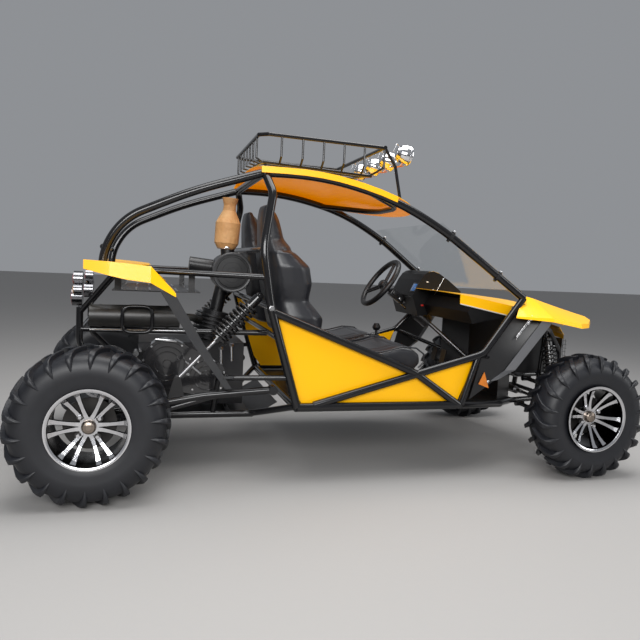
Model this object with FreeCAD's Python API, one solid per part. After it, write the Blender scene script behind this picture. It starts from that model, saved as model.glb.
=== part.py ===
"""Dune buggy: tube-framed two-seat sand car with a roof basket and a rear engine.

Millimetres. +X is forward, +Y is the driver's left, +Z is up. The origin is on the ground, midway
between the rear edge of the rear tyres and the front edge of the front tyres.
"""
import FreeCAD
import Part
import math
import os

V = FreeCAD.Vector

# ---------------------------------------------------------------- driving dimensions
WHEELBASE = 2336.0
REAR_TYRE_R = 317.5
REAR_TYRE_W = 250.0
FRONT_TYRE_R = 305.0
FRONT_TYRE_W = 200.0
REAR_WHEEL_Y = 636.0          # middle of the rear wheel, from the centre plane
FRONT_WHEEL_Y = 630.0
REAR_RIM_W = 216.0            # over the flanges
FRONT_RIM_W = 190.0
RIM_LIP_R = 163.5
RIM_SEAT_R = 152.0            # bead seat of a 12 inch rim
RIM_WALL = 5.0
HUB_RECESS = 59.0             # outer flange to the hub's face

TUBE = 38.0                   # main cage tube
BRACE = 30.0                  # braces and the rear and front frames
SIDE_Y = 560.0                # plane of the side frame's tubes
RAIL_Z = 352.0                # axis of the lower side rails
MUFFLER_RAIL_Z = 662.0
ROOF_Y = 440.0                # roof rails
SHEET = 3.0                   # body panels
SEAT_GAP = 0.3                # between pieces that seat on each other

KINGPIN_Y = 555.0
STEER_ARM = 95.0              # kingpin to tie-rod eye

REAR_X = -(WHEELBASE + FRONT_TYRE_R - REAR_TYRE_R) / 2
FRONT_X = REAR_X + WHEELBASE
REAR_AXLE = V(REAR_X, 0, REAR_TYRE_R)
FRONT_AXLE = V(FRONT_X, 0, FRONT_TYRE_R)
NOSE_Z = FRONT_TYRE_R - 5     # axis of the nose frame's lowest tubes

# Frame points on the left side, which the right side mirrors
HOOP_TOP = V(-453, ROOF_Y - 14, 1398)
HOOP_SHOULDER = V(-425, 500, 1300)
HOOP_WAIST = V(-470, SIDE_Y, 1050)
HOOP_KNEE = V(-428, SIDE_Y, 800)
HOOP_LOW = V(-391, SIDE_Y, 662)
HOOP_FOOT = V(-292, SIDE_Y, RAIL_Z)
RAIL_BEND = V(508, SIDE_Y, RAIL_Z)
TUBE_CROSSING = V(272, SIDE_Y, 508)
SIDE_KNEE = V(625, SIDE_Y, 598)
PILLAR_FOOT = V(863, 505, 872)

parts = {}


# ---------------------------------------------------------------- helpers
def mirrored(shape):
    """The same piece on the other side of the centre plane."""
    return shape.mirror(V(0, 0, 0), V(0, 1, 0))


def pair(shape):
    """One node that holds a piece and its mirror image."""
    return Part.makeCompound([shape, mirrored(shape)])


def fused(shapes):
    whole = shapes[0]
    if len(shapes) > 1:
        whole = whole.multiFuse(shapes[1:])
    return whole


def rod(start, end, diameter):
    """Straight round bar between two points."""
    along = end - start
    return Part.makeCylinder(diameter / 2, along.Length, start, along)


def tube(points, diameter, bend=90.0):
    """Bent round tube, modelled as a full bar: straight runs joined by tangent arcs.

    The bend radius is one number for all corners or a list with one for each.
    """
    bends = bend if isinstance(bend, list) else [bend] * (len(points) - 2)
    pieces = []
    start = points[0]
    for before, corner, after, radius in zip(points, points[1:], points[2:], bends):
        back = (before - corner).normalize()
        on = (after - corner).normalize()
        half = back.getAngle(on) / 2
        arc_start = corner + back * (radius / math.tan(half))
        centre = corner + (back + on).normalize() * (radius / math.sin(half))
        axis = (arc_start - centre).cross(back * -1)
        ring = Part.Face(Part.Wire([Part.Circle(arc_start, back, diameter / 2).toShape()]))
        pieces.append(rod(start, arc_start, diameter))
        pieces.append(ring.revolve(centre, axis, 180 - math.degrees(2 * half)))
        start = corner + on * (radius / math.tan(half))
    pieces.append(rod(start, points[-1], diameter))
    return fused(pieces)


def kinked_rod(points, diameter):
    """Thin round rod with sharp mitred bends."""
    path = Part.makePolygon(points)
    ring = Part.Wire([Part.Circle(points[0], points[1] - points[0], diameter / 2).toShape()])
    return path.makePipeShell([ring], True, False, 1)


def cross(point, diameter):
    """Tube straight across from a left-hand point to its mirror image."""
    return rod(V(point.x, -point.y, point.z), point, diameter)


def largest(shape):
    """The main body left after cuts."""
    return max(shape.Solids, key=lambda solid: solid.Volume)


def at(shape, point):
    shape = shape.copy()
    shape.translate(point)
    return shape


def prism(outline, along):
    """Flat outline of points, pushed along a vector."""
    wire = Part.makePolygon(list(outline) + [outline[0]])
    return Part.Face(wire).extrude(along)


def xz_plate(outline, y_from, y_to):
    """Sheet lying in a side view plane: outline of (x, z) pairs."""
    return prism([V(x, y_from, z) for x, z in outline], V(0, y_to - y_from, 0))


def box(x0, x1, y0, y1, z0, z1):
    return Part.makeBox(x1 - x0, y1 - y0, z1 - z0, V(x0, y0, z0))


def turned(profile, centre=V(0, 0, 0)):
    """Solid turned about the Y axis from (radius, y) pairs."""
    face = Part.Face(Part.makePolygon([V(r, y, 0) for r, y in profile + profile[:1]]))
    solid = face.revolve(V(0, 0, 0), V(0, 1, 0), 360)
    solid.translate(centre)
    return solid


# ---------------------------------------------------------------- cage and frame
def main_hoop():
    """Roll hoop behind the seats, with its three cross tubes."""
    half = [V(HOOP_TOP.x, 0, HOOP_TOP.z), HOOP_TOP, HOOP_SHOULDER, HOOP_WAIST, HOOP_KNEE, HOOP_FOOT]
    other = [V(p.x, -p.y, p.z) for p in half[1:]]
    leg_bends = [60, 90, 300, 800]
    hoop = tube(list(reversed(other)) + half[1:], TUBE, list(reversed(leg_bends)) + leg_bends)
    bars = [cross(p, BRACE) for p in (HOOP_WAIST, HOOP_KNEE, HOOP_FOOT)]
    bars.append(cross(HOOP_LOW, BRACE - 6))
    return fused([hoop] + bars)


def roof_rail(hoop):
    """Roof rail and windscreen pillar in front of the hoop."""
    points = [
        V(-453, ROOF_Y - 14, 1396),
        V(-190, ROOF_Y, 1400),
        V(180, ROOF_Y, 1318),
        V(450, ROOF_Y + 20, 1172),
        PILLAR_FOOT,
    ]
    return tube(points, TUBE, [1400, 1200, 1500]).cut(hoop)


def side_frame(hoop, rail):
    """Lower rail, the two crossing side tubes and the short brace."""
    lower = tube([HOOP_FOOT, RAIL_BEND, V(850, 370, 310)], TUBE, 120)
    diagonal = tube([V(-427, SIDE_Y, 782), TUBE_CROSSING, RAIL_BEND], TUBE - 3, 200)
    rising = tube([V(-215, SIDE_Y, RAIL_Z + 8), SIDE_KNEE, PILLAR_FOOT], TUBE - 3, 90)
    brace = rod(RAIL_BEND + V(14, 0, 0), SIDE_KNEE + V(-25, 0, -8), BRACE)
    return fused([lower, diagonal, rising, brace]).cut(hoop).cut(rail)


hoop = main_hoop()
rail = roof_rail(hoop)
side = side_frame(hoop, rail)
parts["main_hoop"] = hoop
parts["roof_rail_left"] = rail
parts["roof_rail_right"] = mirrored(rail)
parts["side_frame_left"] = side
parts["side_frame_right"] = mirrored(side)


REAR_CORNER = V(REAR_X + 22, 382, 935)


def rear_top_tube():
    """Top tube of the engine bay, bent down from the hoop's top to the rear corner."""
    return tube(
        [
            HOOP_TOP + V(0, 4, -2),
            V(-760, 434, 1296),
            V(REAR_CORNER.x + 78, 398, 1156),
            V(REAR_CORNER.x, 384, 1010),
            REAR_CORNER,
        ],
        TUBE,
        [1500, 280, 250],
    ).cut(hoop)


def rear_frame():
    """Engine bay frame: lower runners, muffler rails, upper rails and the rear uprights."""
    upright_top = V(REAR_X - 76, 295, 760)
    upright_foot = V(REAR_X - 76, 295, 590)
    runner_rear = V(REAR_X + 257, 300, 268)
    runner = tube(
        [HOOP_FOOT + V(-8, -12, 0), V(-450, 305, 268), runner_rear, upright_foot, upright_top], BRACE, 80
    )
    rail_rear = V(upright_top.x, 295, MUFFLER_RAIL_Z)
    muffler_rail = tube([rail_rear, V(-800, 330, MUFFLER_RAIL_Z), V(-402, 350, MUFFLER_RAIL_Z)], BRACE - 4, 120)
    corner = REAR_CORNER
    upper_rail = tube([corner, V(corner.x + 235, 420, 935), V(-458, SIDE_Y, 930)], BRACE - 3, 200)
    stay = rod(corner + V(60, 8, 0), upright_top + V(0, 0, -25), BRACE - 6)
    outrigger = tube([V(-332, SIDE_Y, 486), V(-590, 512, 478), V(-628, 400, 462), V(-640, 303, 275)], BRACE - 6, 50)
    side_tubes = fused([runner, muffler_rail, upper_rail, stay, outrigger])
    across = [
        cross(V(corner.x, 384, 1030), BRACE - 4),
        cross(upright_top + V(0, 0, -20), BRACE - 6),
        cross(rail_rear, BRACE - 8),
        cross(runner_rear, BRACE - 8),
        cross(V(-560, 303, 268), BRACE - 8),
    ]
    frame = fused([side_tubes, mirrored(side_tubes)] + across)
    for neighbour in (rear_top, hoop, side, mirrored(side)):
        frame = frame.cut(neighbour)
    return frame


def front_frame():
    """Nose frame, which carries the front arms, the rack, the hood and the mudguards."""
    nose_low = V(FRONT_X + 116, 185, NOSE_Z)
    nose_high = V(FRONT_X + 151, 190, NOSE_Z + 260)
    box_low = V(FRONT_X - 174, 250, NOSE_Z)
    box_middle = V(FRONT_X - 164, 250, NOSE_Z + 140)
    box_high = V(FRONT_X - 174, 384, NOSE_Z + 448)
    shoulder = V(FRONT_X + 36, 240, NOSE_Z + 390)
    lower = tube([V(850, 370, 310), box_low, nose_low], BRACE, 100)
    upper = tube([V(803, 519, 803), shoulder, nose_high, nose_low], BRACE, 70)
    middle = tube([SIDE_KNEE + V(10, 0, -4), box_middle, V(FRONT_X + 131, 188, NOSE_Z + 140)], BRACE - 4, 150)
    tower = rod(V(FRONT_X, 213, NOSE_Z), V(FRONT_X, 264, NOSE_Z + 400), BRACE - 6)
    guard_post = rod(box_high + V(-64, 52, 20), box_high + V(-60, 112, 108), BRACE / 2)
    hood_post = rod(box_high + V(0, -74, 0), box_high + V(0, -74, 89), BRACE / 2)
    side_tubes = fused([lower, upper, middle, tower, guard_post, hood_post])
    across = [
        cross(box_high, BRACE - 6),
        cross(nose_low, BRACE - 6),
        cross(nose_high, BRACE - 6),
        cross(box_middle, BRACE - 8),
        cross(box_low + V(0, 5, 1), BRACE - 8),
    ]
    frame = fused([side_tubes, mirrored(side_tubes)] + across)
    for other in (side, mirrored(side), rail, mirrored(rail)):
        frame = frame.cut(other)
    return frame


rear_top = pair(rear_top_tube())
rear = rear_frame()
front = front_frame()
parts["rear_top_tubes"] = rear_top
parts["rear_frame"] = rear
parts["front_frame"] = front


# ---------------------------------------------------------------- wheels
SPOKE_PAIRS = 6
WINDOWS = (
    # half angle at the inner end, half angle at the outer end, inner radius, outer radius, turn
    (12.5, 13.5, 62, 154, 0),
    (4.0, 6.0, 78, 122, 30),
)


def rim(width, bore_r=17.5):
    """Wheel with its hub, six split spokes, cap and brake disc; the outer side faces -Y."""
    edge = width / 2
    flange = 8.0
    barrel = turned(
        [
            (RIM_SEAT_R - RIM_WALL, -edge),
            (RIM_LIP_R, -edge),
            (RIM_LIP_R, -edge + flange),
            (RIM_SEAT_R, -edge + flange),
            (RIM_SEAT_R, edge - flange),
            (RIM_LIP_R, edge - flange),
            (RIM_LIP_R, edge),
            (RIM_SEAT_R - RIM_WALL, edge),
        ]
    )
    hub_face = -edge + HUB_RECESS
    rim_face = -edge + 22
    inner = RIM_SEAT_R - RIM_WALL + 1
    face = turned(
        [
            (0, hub_face),
            (42, hub_face),
            (inner, rim_face),
            (inner, rim_face + 15),
            (42, hub_face + 14),
            (0, hub_face + 14),
        ]
    )
    windows = []
    for k in range(SPOKE_PAIRS):
        for a_in, a_out, r_in, r_out, offset in WINDOWS:
            turn = 360 / SPOKE_PAIRS * k + offset
            corners = []
            for r, a in ((r_in, -a_in), (r_out, -a_out), (r_out, a_out), (r_in, a_in)):
                angle = math.radians(turn + a)
                corners.append(V(r * math.cos(angle), -edge, r * math.sin(angle)))
            windows.append(prism(corners, V(0, width, 0)))
    face = face.cut(Part.makeCompound(windows))
    disc_y = hub_face + 62
    hub = turned(
        [
            (0, hub_face + 10),
            (38, hub_face + 10),
            (38, disc_y),
            (105, disc_y),
            (105, disc_y + 5),
            (38, disc_y + 5),
            (0, disc_y + 5),
        ]
    )
    cap = turned([(0, hub_face - 16), (22, hub_face - 16), (29, hub_face - 8), (29, hub_face + 2), (0, hub_face + 2)])
    nuts = [
        Part.makeCylinder(9, 16, V(52 * math.cos(a), hub_face - 8, 52 * math.sin(a)), V(0, 1, 0))
        for a in (math.radians(45 + 90 * k) for k in range(4))
    ]
    bore = Part.makeCylinder(bore_r, 60, V(0, hub_face + 12, 0), V(0, 1, 0))
    return fused([barrel, face, hub, cap] + nuts).cut(bore)


def faceted_ring(section, sides):
    """Closed ring of flat faces: a section of (radius, y) pairs repeated round the Y axis."""
    rings = []
    for k in range(sides):
        a = 2 * math.pi * k / sides
        rings.append([V(r * math.cos(a), y, r * math.sin(a)) for r, y in section])
    faces = []
    count = len(section)
    for k in range(sides):
        here, there = rings[k], rings[(k + 1) % sides]
        for i in range(count):
            j = (i + 1) % count
            faces.append(Part.Face(Part.makePolygon([here[i], here[j], there[j], there[i], here[i]])))
    return Part.Solid(Part.Shell(faces))


def tyre(radius, width, rim_width, pitches=14):
    """Tubeless knobby tyre: carcass with slanted bar lugs that run over its shoulders."""
    lug = 16.0
    half = width / 2
    bead = rim_width / 2 - 8 - SEAT_GAP
    seat = RIM_SEAT_R / math.cos(math.pi / (2 * pitches)) + SEAT_GAP
    base = radius - lug
    side = [(seat, bead), (RIM_LIP_R + 1, bead), (seat + 66, half - 1), (base - 4, half - 38)]
    section = [(r, -y) for r, y in side] + [(r, y) for r, y in reversed(side)]
    carcass = faceted_ring(section, 2 * pitches)
    lugs = []
    step = 2 * math.pi / pitches
    for k in range(2 * pitches):
        hand = 1 if k % 2 else -1
        # (radius, y, middle angle, half angle) from the crown's middle to the low shoulder
        stations = (
            (radius, -4, -0.26, 0.11),
            (radius - 9, half - 8, 0.20, 0.12),
        )
        lugs.append(lug_block(stations, hand, k * step / 2, lug, step))
    return fused([carcass] + lugs)


def lug_block(stations, hand, turn, depth, step):
    """One lug: a bar through the stations, sunk into the carcass."""
    tops, feet = [], []
    for r, y, middle, half_angle in stations:
        for edge in (-half_angle, half_angle):
            a = turn + (middle + edge) * step
            tops.append(V(r * math.cos(a), hand * y, r * math.sin(a)))
            low = r - depth - 12
            feet.append(V(low * math.cos(a), hand * y, low * math.sin(a)))
    blocks = []
    for s in range(len(stations) - 1):
        i = 2 * s
        a, b, c, d = tops[i], tops[i + 1], tops[i + 3], tops[i + 2]
        e, f, g, h = feet[i], feet[i + 1], feet[i + 3], feet[i + 2]
        faces = []
        for quad in ((a, b, c, d), (e, f, g, h), (a, b, f, e), (b, c, g, f), (c, d, h, g), (d, a, e, h)):
            for three in ((quad[0], quad[1], quad[2]), (quad[0], quad[2], quad[3])):
                faces.append(Part.Face(Part.makePolygon(list(three) + [three[0]])))
        solid = Part.Solid(Part.Shell(faces))
        if solid.Volume < 0:
            solid.reverse()
        blocks.append(solid)
    return fused(blocks)


WHEELS = (
    # name, axle point, wheel plane from the centre, tyre radius, tyre width, rim width
    ("rear", REAR_AXLE, REAR_WHEEL_Y, REAR_TYRE_R, REAR_TYRE_W, REAR_RIM_W),
    ("front", FRONT_AXLE, FRONT_WHEEL_Y, FRONT_TYRE_R, FRONT_TYRE_W, FRONT_RIM_W),
)
for name, axle, plane, tyre_r, tyre_w, rim_w in WHEELS:
    place = V(axle.x, -plane, axle.z)
    rim_right = at(rim(rim_w), place)
    tyre_right = at(tyre(tyre_r, tyre_w, rim_w), place)
    parts[f"rim_{name}_right"] = rim_right
    parts[f"rim_{name}_left"] = mirrored(rim_right)
    parts[f"tyre_{name}_right"] = tyre_right
    parts[f"tyre_{name}_left"] = mirrored(tyre_right)


# ---------------------------------------------------------------- suspension and steering
def eye(centre, axis, radius, length):
    """Round eye or bush, centred on its pin."""
    axis = V(axis).normalize()
    return Part.makeCylinder(radius, length, centre - axis * (length / 2), axis)


PIN_R = 7.0
BALL_Z = 78.0                 # ball joints above and below the front axle
KNUCKLE_HALF = 62.0


def knuckle():
    """Left front knuckle: kingpin body, wheel spindle and steering arm."""
    top = V(FRONT_X, KINGPIN_Y, FRONT_TYRE_R)
    low, high = FRONT_TYRE_R - KNUCKLE_HALF, FRONT_TYRE_R + KNUCKLE_HALF
    body = box(FRONT_X - 20, FRONT_X + 20, KINGPIN_Y - 20, KINGPIN_Y + 18, low, high)
    pin = Part.makeCylinder(PIN_R, 188, top - V(0, 0, 94), V(0, 0, 1))
    flange = Part.makeCylinder(34, 18, V(FRONT_X, KINGPIN_Y + 18, FRONT_TYRE_R), V(0, 1, 0))
    spindle = Part.makeCylinder(17.2, 66, V(FRONT_X, KINGPIN_Y + 30, FRONT_TYRE_R), V(0, 1, 0))
    pad = Part.makeCylinder(16, 14, V(FRONT_X - STEER_ARM, KINGPIN_Y, FRONT_TYRE_R + 5), V(0, 0, 1))
    # Boxes from the kingpin's middle, as (x from, x to, y from, y to, z from, z to)
    arm, caliper, bracket = (
        at(box(*sides), top)
        for sides in (
            (-STEER_ARM, -10, -14, 10, 5, 19),
            (62, 100, 8, 36, 10, 72),
            (10, 70, -4, 12, 16, 44),
        )
    )
    return fused([body, pin, flange, spindle, arm, pad, caliper, bracket])


def front_arm(ball_z, bushes):
    """Left A-arm: two tubes from the frame's bushes to the ball joint."""
    joint = V(FRONT_X, KINGPIN_Y, ball_z)
    bore = eye(joint, V(0, 0, 1), PIN_R + 0.4, 17)
    pieces = [eye(joint, V(0, 0, 1), 19, 15)]
    for bush in bushes:
        pieces.append(eye(bush, V(1, 0, 0), 14, 48))
        pieces.append(rod(V(FRONT_X, KINGPIN_Y - 12, ball_z), bush, 22))
    middle = [V(FRONT_X, KINGPIN_Y, ball_z) * 0.45 + b * 0.55 for b in bushes]
    pieces.append(rod(middle[0], middle[1], 18))
    return fused(pieces).cut(bore)


LOWER_BUSHES = (V(FRONT_X - 130, 258, NOSE_Z - 17), V(FRONT_X + 85, 226, NOSE_Z - 17))
UPPER_BUSHES = (V(FRONT_X - 110, 276, NOSE_Z + 126), V(FRONT_X + 80, 244, NOSE_Z + 126))
lower_arm = front_arm(FRONT_TYRE_R - BALL_Z, LOWER_BUSHES)
upper_arm = front_arm(FRONT_TYRE_R + BALL_Z, UPPER_BUSHES)
kn = knuckle()
parts["knuckle_left"] = kn
parts["knuckle_right"] = mirrored(kn)


def coil_over(low, high, spring_r, body_r, spring_top, spring_length):
    """Damper with its eyes, spring seats and coil spring; the spring is placed from the upper eye."""
    along = (low - high).normalize()
    length = (low - high).Length
    side_axis = V(1, 0, 0) if abs(along.x) < 0.5 else V(0, 1, 0)
    start = high + along * spring_top
    end = start + along * spring_length
    seat = 6.0
    wire = 12.0
    pieces = [
        eye(low, side_axis, 15, 26),
        eye(high, side_axis, 15, 26),
        Part.makeCylinder(body_r, spring_top + spring_length + 24, high + along * 10, along),
        Part.makeCylinder(9, length - 20, high + along * 10, along),
        Part.makeCylinder(spring_r + 3, seat, start - along * seat, along),
        Part.makeCylinder(spring_r + 3, seat, end, along),
    ]
    turns = round(spring_length / (2.2 * wire))
    spring = coil(start - along * seat / 2, end + along * seat / 2, spring_r, wire, turns)
    return fused(pieces + [spring])


def coil(start, end, radius, wire, turns, steps=12):
    """Spring as a square bar wound in flat-sided turns from start to end."""
    along = (end - start).normalize()
    u = along.cross(V(0, 1, 0)).normalize()
    w = along.cross(u)
    rise = (end - start) * (1 / (turns * steps))
    half = wire / 2
    rings = []
    for k in range(turns * steps + 1):
        a = 2 * math.pi * k / steps
        out = u * math.cos(a) + w * math.sin(a)
        middle = start + rise * k + out * (radius - half)
        rings.append([middle + out * half, middle + along * half, middle - out * half, middle - along * half])
    faces = []
    for here, there in zip(rings, rings[1:]):
        for i in range(4):
            j = (i + 1) % 4
            for three in ((here[i], here[j], there[j]), (here[i], there[j], there[i])):
                faces.append(Part.Face(Part.makePolygon(list(three) + [three[0]])))
    for ring in (rings[0], rings[-1]):
        faces.append(Part.Face(Part.makePolygon(ring + [ring[0]])))
    solid = Part.Solid(Part.Shell(faces))
    if solid.Volume < 0:
        solid.reverse()
    return solid


front_shock = coil_over(
    V(FRONT_X - 10, 405, NOSE_Z - 38), V(FRONT_X - 8, 300, NOSE_Z + 340), 38, 22, 40, 222
)
parts["front_shocks"] = pair(front_shock)
for name, arm in (("lower", lower_arm), ("upper", upper_arm)):
    arm = arm.cut(front_shock).cut(front)
    parts[f"front_{name}_arms"] = pair(arm)

REAR_ARM_Y = 470.0
REAR_SHOCK_LOW = V(REAR_X + 347, 455, REAR_TYRE_R + 146)
REAR_SHOCK_HIGH = V(-460, 455, 842)


def rear_arm():
    """Left trailing arm with its damper bracket, the bearing carrier and the wheel's stub axle."""
    pivot = V(-392, REAR_ARM_Y + 20, 418)
    tail = V(REAR_X + 30, REAR_ARM_Y, REAR_TYRE_R)
    elbow = V(-700, REAR_ARM_Y + 6, REAR_TYRE_R + 74)
    arm = tube([pivot, elbow, tail], 34, 200)
    low = rod(V(-640, REAR_ARM_Y + 4, elbow.z), V(REAR_X + 60, REAR_ARM_Y - 2, REAR_TYRE_R - 50), 24)
    plate = box(-55, 62, REAR_ARM_Y - 12, REAR_ARM_Y + 4, -62, 62)
    bracket_in = REAR_SHOCK_LOW.y + 13 + SEAT_GAP
    foot = REAR_SHOCK_LOW + V(0, 0, -92)
    bracket = xz_plate(
        [(foot.x - 44, foot.z), (foot.x + 34, foot.z), (foot.x + 14, foot.z + 104), (foot.x - 14, foot.z + 104)],
        bracket_in,
        bracket_in + 6,
    )
    hub_in = REAR_WHEEL_Y + REAR_RIM_W / 2 - HUB_RECESS - 67
    carrier = Part.makeCylinder(44, hub_in - 5 - REAR_ARM_Y, V(REAR_X, REAR_ARM_Y, REAR_TYRE_R), V(0, 1, 0))
    stub = Part.makeCylinder(17.2, 50, V(REAR_X, hub_in - 6, REAR_TYRE_R), V(0, 1, 0))
    return fused([eye(pivot, V(0, 1, 0), 20, 52), arm, low, at(plate, REAR_AXLE), bracket, carrier, stub])


shock_lug = xz_plate([(-474, 846), (-450, 846), (-432, 815), (-450, 804)], 444, 466)
rear_shock = coil_over(REAR_SHOCK_LOW, REAR_SHOCK_HIGH, 39, 24, 82, 168)
rear_shock = fused([rear_shock, shock_lug]).cut(hoop)
parts["rear_shocks"] = pair(rear_shock)
arm = rear_arm().cut(rear_shock)
parts["trailing_arms"] = pair(arm)


def half_shaft():
    """Left drive shaft with a boot at each joint."""
    inner = V(REAR_X + 20, 118, REAR_TYRE_R + 17)
    outer = V(REAR_X, REAR_ARM_Y - 13, REAR_TYRE_R)
    along = (outer - inner).normalize()
    shaft = rod(inner, outer + along * 6, 26)
    boots = [
        Part.makeCone(40, 20, 70, inner, along),
        Part.makeCone(20, 38, 62, outer - along * 58, along),
    ]
    return fused([shaft] + boots)


shaft = half_shaft().cut(arm)
parts["drive_shafts"] = pair(shaft)

RACK_X = FRONT_X - STEER_ARM
RACK_Z = FRONT_TYRE_R + 34
rack_bore = Part.makeCylinder(11.3, 400, V(RACK_X, -200, RACK_Z), V(0, 1, 0))


def steering_rack():
    """Sliding rack bar with both track rods; each rod end stands over its steering arm."""
    bar = Part.makeCylinder(11, 440, V(RACK_X, -220, RACK_Z), V(0, 1, 0))
    pieces = [bar]
    for hand in (-1, 1):
        end = V(RACK_X, hand * KINGPIN_Y, FRONT_TYRE_R + 30)
        pieces.append(rod(V(RACK_X, hand * 215, RACK_Z), end, 16))
        pieces.append(Part.makeCylinder(15, 16, end - V(0, 0, 9), V(0, 0, 1)))
    return fused(pieces)


parts["steering_rack"] = steering_rack()

WHEEL_CENTRE = V(402, 290, 902)
COLUMN = V(0.815, 0, -0.579).normalize()
COLUMN_LENGTH = 300.0         # wheel's middle to the shaft's lower end


def steering_wheel():
    """Three-spoke wheel on its column shaft."""
    grip = [(155 + 13 * math.cos(a), 13 * math.sin(a)) for a in (math.radians(30 * k + 15) for k in range(12))]
    ring = turned(grip)
    ring.rotate(V(0, 0, 0), V(0, 0, 1), 90)
    ring.rotate(V(0, 0, 0), V(0, 1, 0), math.degrees(math.atan2(-COLUMN.z, COLUMN.x)))
    ring.translate(WHEEL_CENTRE)
    up = V(0, 1, 0).cross(COLUMN).normalize()
    across = V(0, 1, 0)
    pieces = [ring, Part.makeCylinder(30, 34, WHEEL_CENTRE + COLUMN * 8, COLUMN)]
    for angle in (90, 210, 330):
        a = math.radians(angle)
        out = across * math.cos(a) - up * math.sin(a)
        pieces.append(rod(WHEEL_CENTRE + COLUMN * 22, WHEEL_CENTRE + out * 150 + COLUMN * 3, 17))
    pieces.append(rod(WHEEL_CENTRE + COLUMN * 30, WHEEL_CENTRE + COLUMN * COLUMN_LENGTH, 22))
    return fused(pieces)


wheel = steering_wheel()
parts["steering_wheel"] = wheel


def column_box():
    """Column bearing under the dash, with the shaft's cover down to the rack's pinion box."""
    start = WHEEL_CENTRE + COLUMN * 180
    sleeve = Part.makeCylinder(24, 130, start, COLUMN)
    power_unit = Part.makeCylinder(42, 90, WHEEL_CENTRE + COLUMN * (COLUMN_LENGTH + 0.5), COLUMN)
    cover = rod(WHEEL_CENTRE + COLUMN * 385, V(RACK_X - 10, 120, RACK_Z + 20), 26)
    pinion = Part.makeCylinder(30, 60, V(RACK_X - 6, 120, RACK_Z - 24), V(0, 0, 1))
    housing = Part.makeCylinder(21, 330, V(RACK_X, -165, RACK_Z), V(0, 1, 0))
    shaft_bore = rod(start - COLUMN, WHEEL_CENTRE + COLUMN * (COLUMN_LENGTH + 0.3), 22.8)
    return fused([sleeve, power_unit, cover, pinion, housing]).cut(rack_bore).cut(shaft_bore)


parts["steering_box"] = column_box().cut(front)


# ---------------------------------------------------------------- bodywork
def ruled(wires):
    """Solid through closed sections, with straight lines between them."""
    solid = Part.makeLoft(wires, True, True)
    if solid.Volume < 0:
        solid.reverse()
    return solid


def crowned_sheet(stations, thick):
    """Sheet arched across the car: stations of (x, half width, z at the edges, crown)."""
    wires = []
    for x, half, z, crown in stations:
        top = Part.Arc(V(x, -half, z), V(x, 0, z + crown), V(x, half, z)).toShape()
        right = Part.LineSegment(V(x, half, z), V(x, half, z - thick)).toShape()
        under = Part.Arc(V(x, half, z - thick), V(x, 0, z + crown - thick), V(x, -half, z - thick)).toShape()
        left = Part.LineSegment(V(x, -half, z - thick), V(x, -half, z)).toShape()
        wires.append(Part.Wire([top, right, under, left]))
    return ruled(wires)


# Yellow sheets behind the side tubes
PANEL_Y = SIDE_Y - TUBE / 2 - SHEET - SEAT_GAP
panel = xz_plate(
    [(-424, 774), (272, 505), (608, 590), (508, RAIL_Z + 8), (-262, RAIL_Z + 8), (-306, 420)],
    PANEL_Y,
    PANEL_Y + SHEET,
)
for piece in (hoop, side, rear):
    panel = panel.cut(piece)
parts["side_panels"] = pair(panel)


def upright_sheet(edges, thick):
    """Sheet between two rising edges: pairs of points, one pair at each level."""
    wires = []
    for back, ahead in edges:
        inward = V(0, -thick, 0)
        wires.append(Part.makePolygon([back, ahead, ahead + inward, back + inward, back]))
    return ruled(wires)


# Dark panels between the rising side tubes and the flat struts behind the front wheels
skirt = upright_sheet(
    [
        (V(575, 541.5, 372), V(700, 549, 465)),
        (V(636, 541.5, 600), V(772, 566, 517)),
        (V(846, 492, 858), V(956, 595, 781)),
    ],
    SHEET,
)
skirt = skirt.cut(side).cut(front).cut(rail)
parts["skirts"] = pair(skirt)
front_strut = upright_sheet(
    [
        (V(679, 549.3, 462), V(717, 552, 469)),
        (V(743, 572, 519), V(801, 572, 522)),
        (V(922, 603, 784), V(988, 603, 784)),
    ],
    4,
)
front_strut = largest(front_strut.cut(skirt).cut(side))
parts["front_struts"] = pair(front_strut)


def hood_sheet():
    """Cowl over the dash and hood down to the nose, with upright side edges behind the glass."""
    sheet = crowned_sheet(
        [
            (560, 420, 879, 6),
            (700, 421, 856, 18),
            (850, 424, 829, 34),
            (900, 436, 826, 32),
            (1000, 422, 822, 26),
            (FRONT_X - 74, 360, 798, 26),
            (FRONT_X + 63, 270, 768, 24),
            (FRONT_X + 171, 185, 712, 14),
        ],
        SHEET,
    )
    edge = prism([V(560, 420, 879), V(850, 424, 829), V(850, 424, 774), V(560, 420, 831)], V(0, -SHEET, 0))
    return fused([sheet, edge, mirrored(edge)])


hood = hood_sheet()
front = largest(front.cut(hood))
for piece in (rail, mirrored(rail), side, mirrored(side)):
    hood = hood.cut(piece)

nose = crowned_sheet([(1346, 150, 698, 12), (1392, 130, 655, 10), (1402, 118, 628, 8)], SHEET)
nose = at(nose, V(FRONT_X - 1174.25, 0, 0))
grille = prism([V(1372, -150, 520), V(1372, 150, 520), V(1400, 118, 628), V(1400, -118, 628)], V(-6, 0, 1.5))
grille = at(grille, V(FRONT_X - 1174.25, 0, 0))
parts["nose_panel"] = nose.cut(hood)
parts["nose_grille"] = grille.cut(nose)


def guard_sheet(stations, thick):
    """Mudguard: stations of (inner corner, outer corner, outer splay, outer depth, inner depth)."""
    wires = []
    down = V(0, 0, -1)
    for inner, outer, splay, depth, inner_depth in stations:
        out = V(outer.x - inner.x, outer.y - inner.y, 0).normalize()
        corners = [
            inner,
            outer,
            outer + out * splay + down * depth,
            outer + out * (splay - thick) + down * depth,
            outer - out * thick + down * thick,
            inner + out * thick + down * thick,
            inner + out * thick + down * inner_depth,
            inner + down * inner_depth,
        ]
        wires.append(Part.makePolygon(corners + corners[:1]))
    return ruled(wires)


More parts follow.
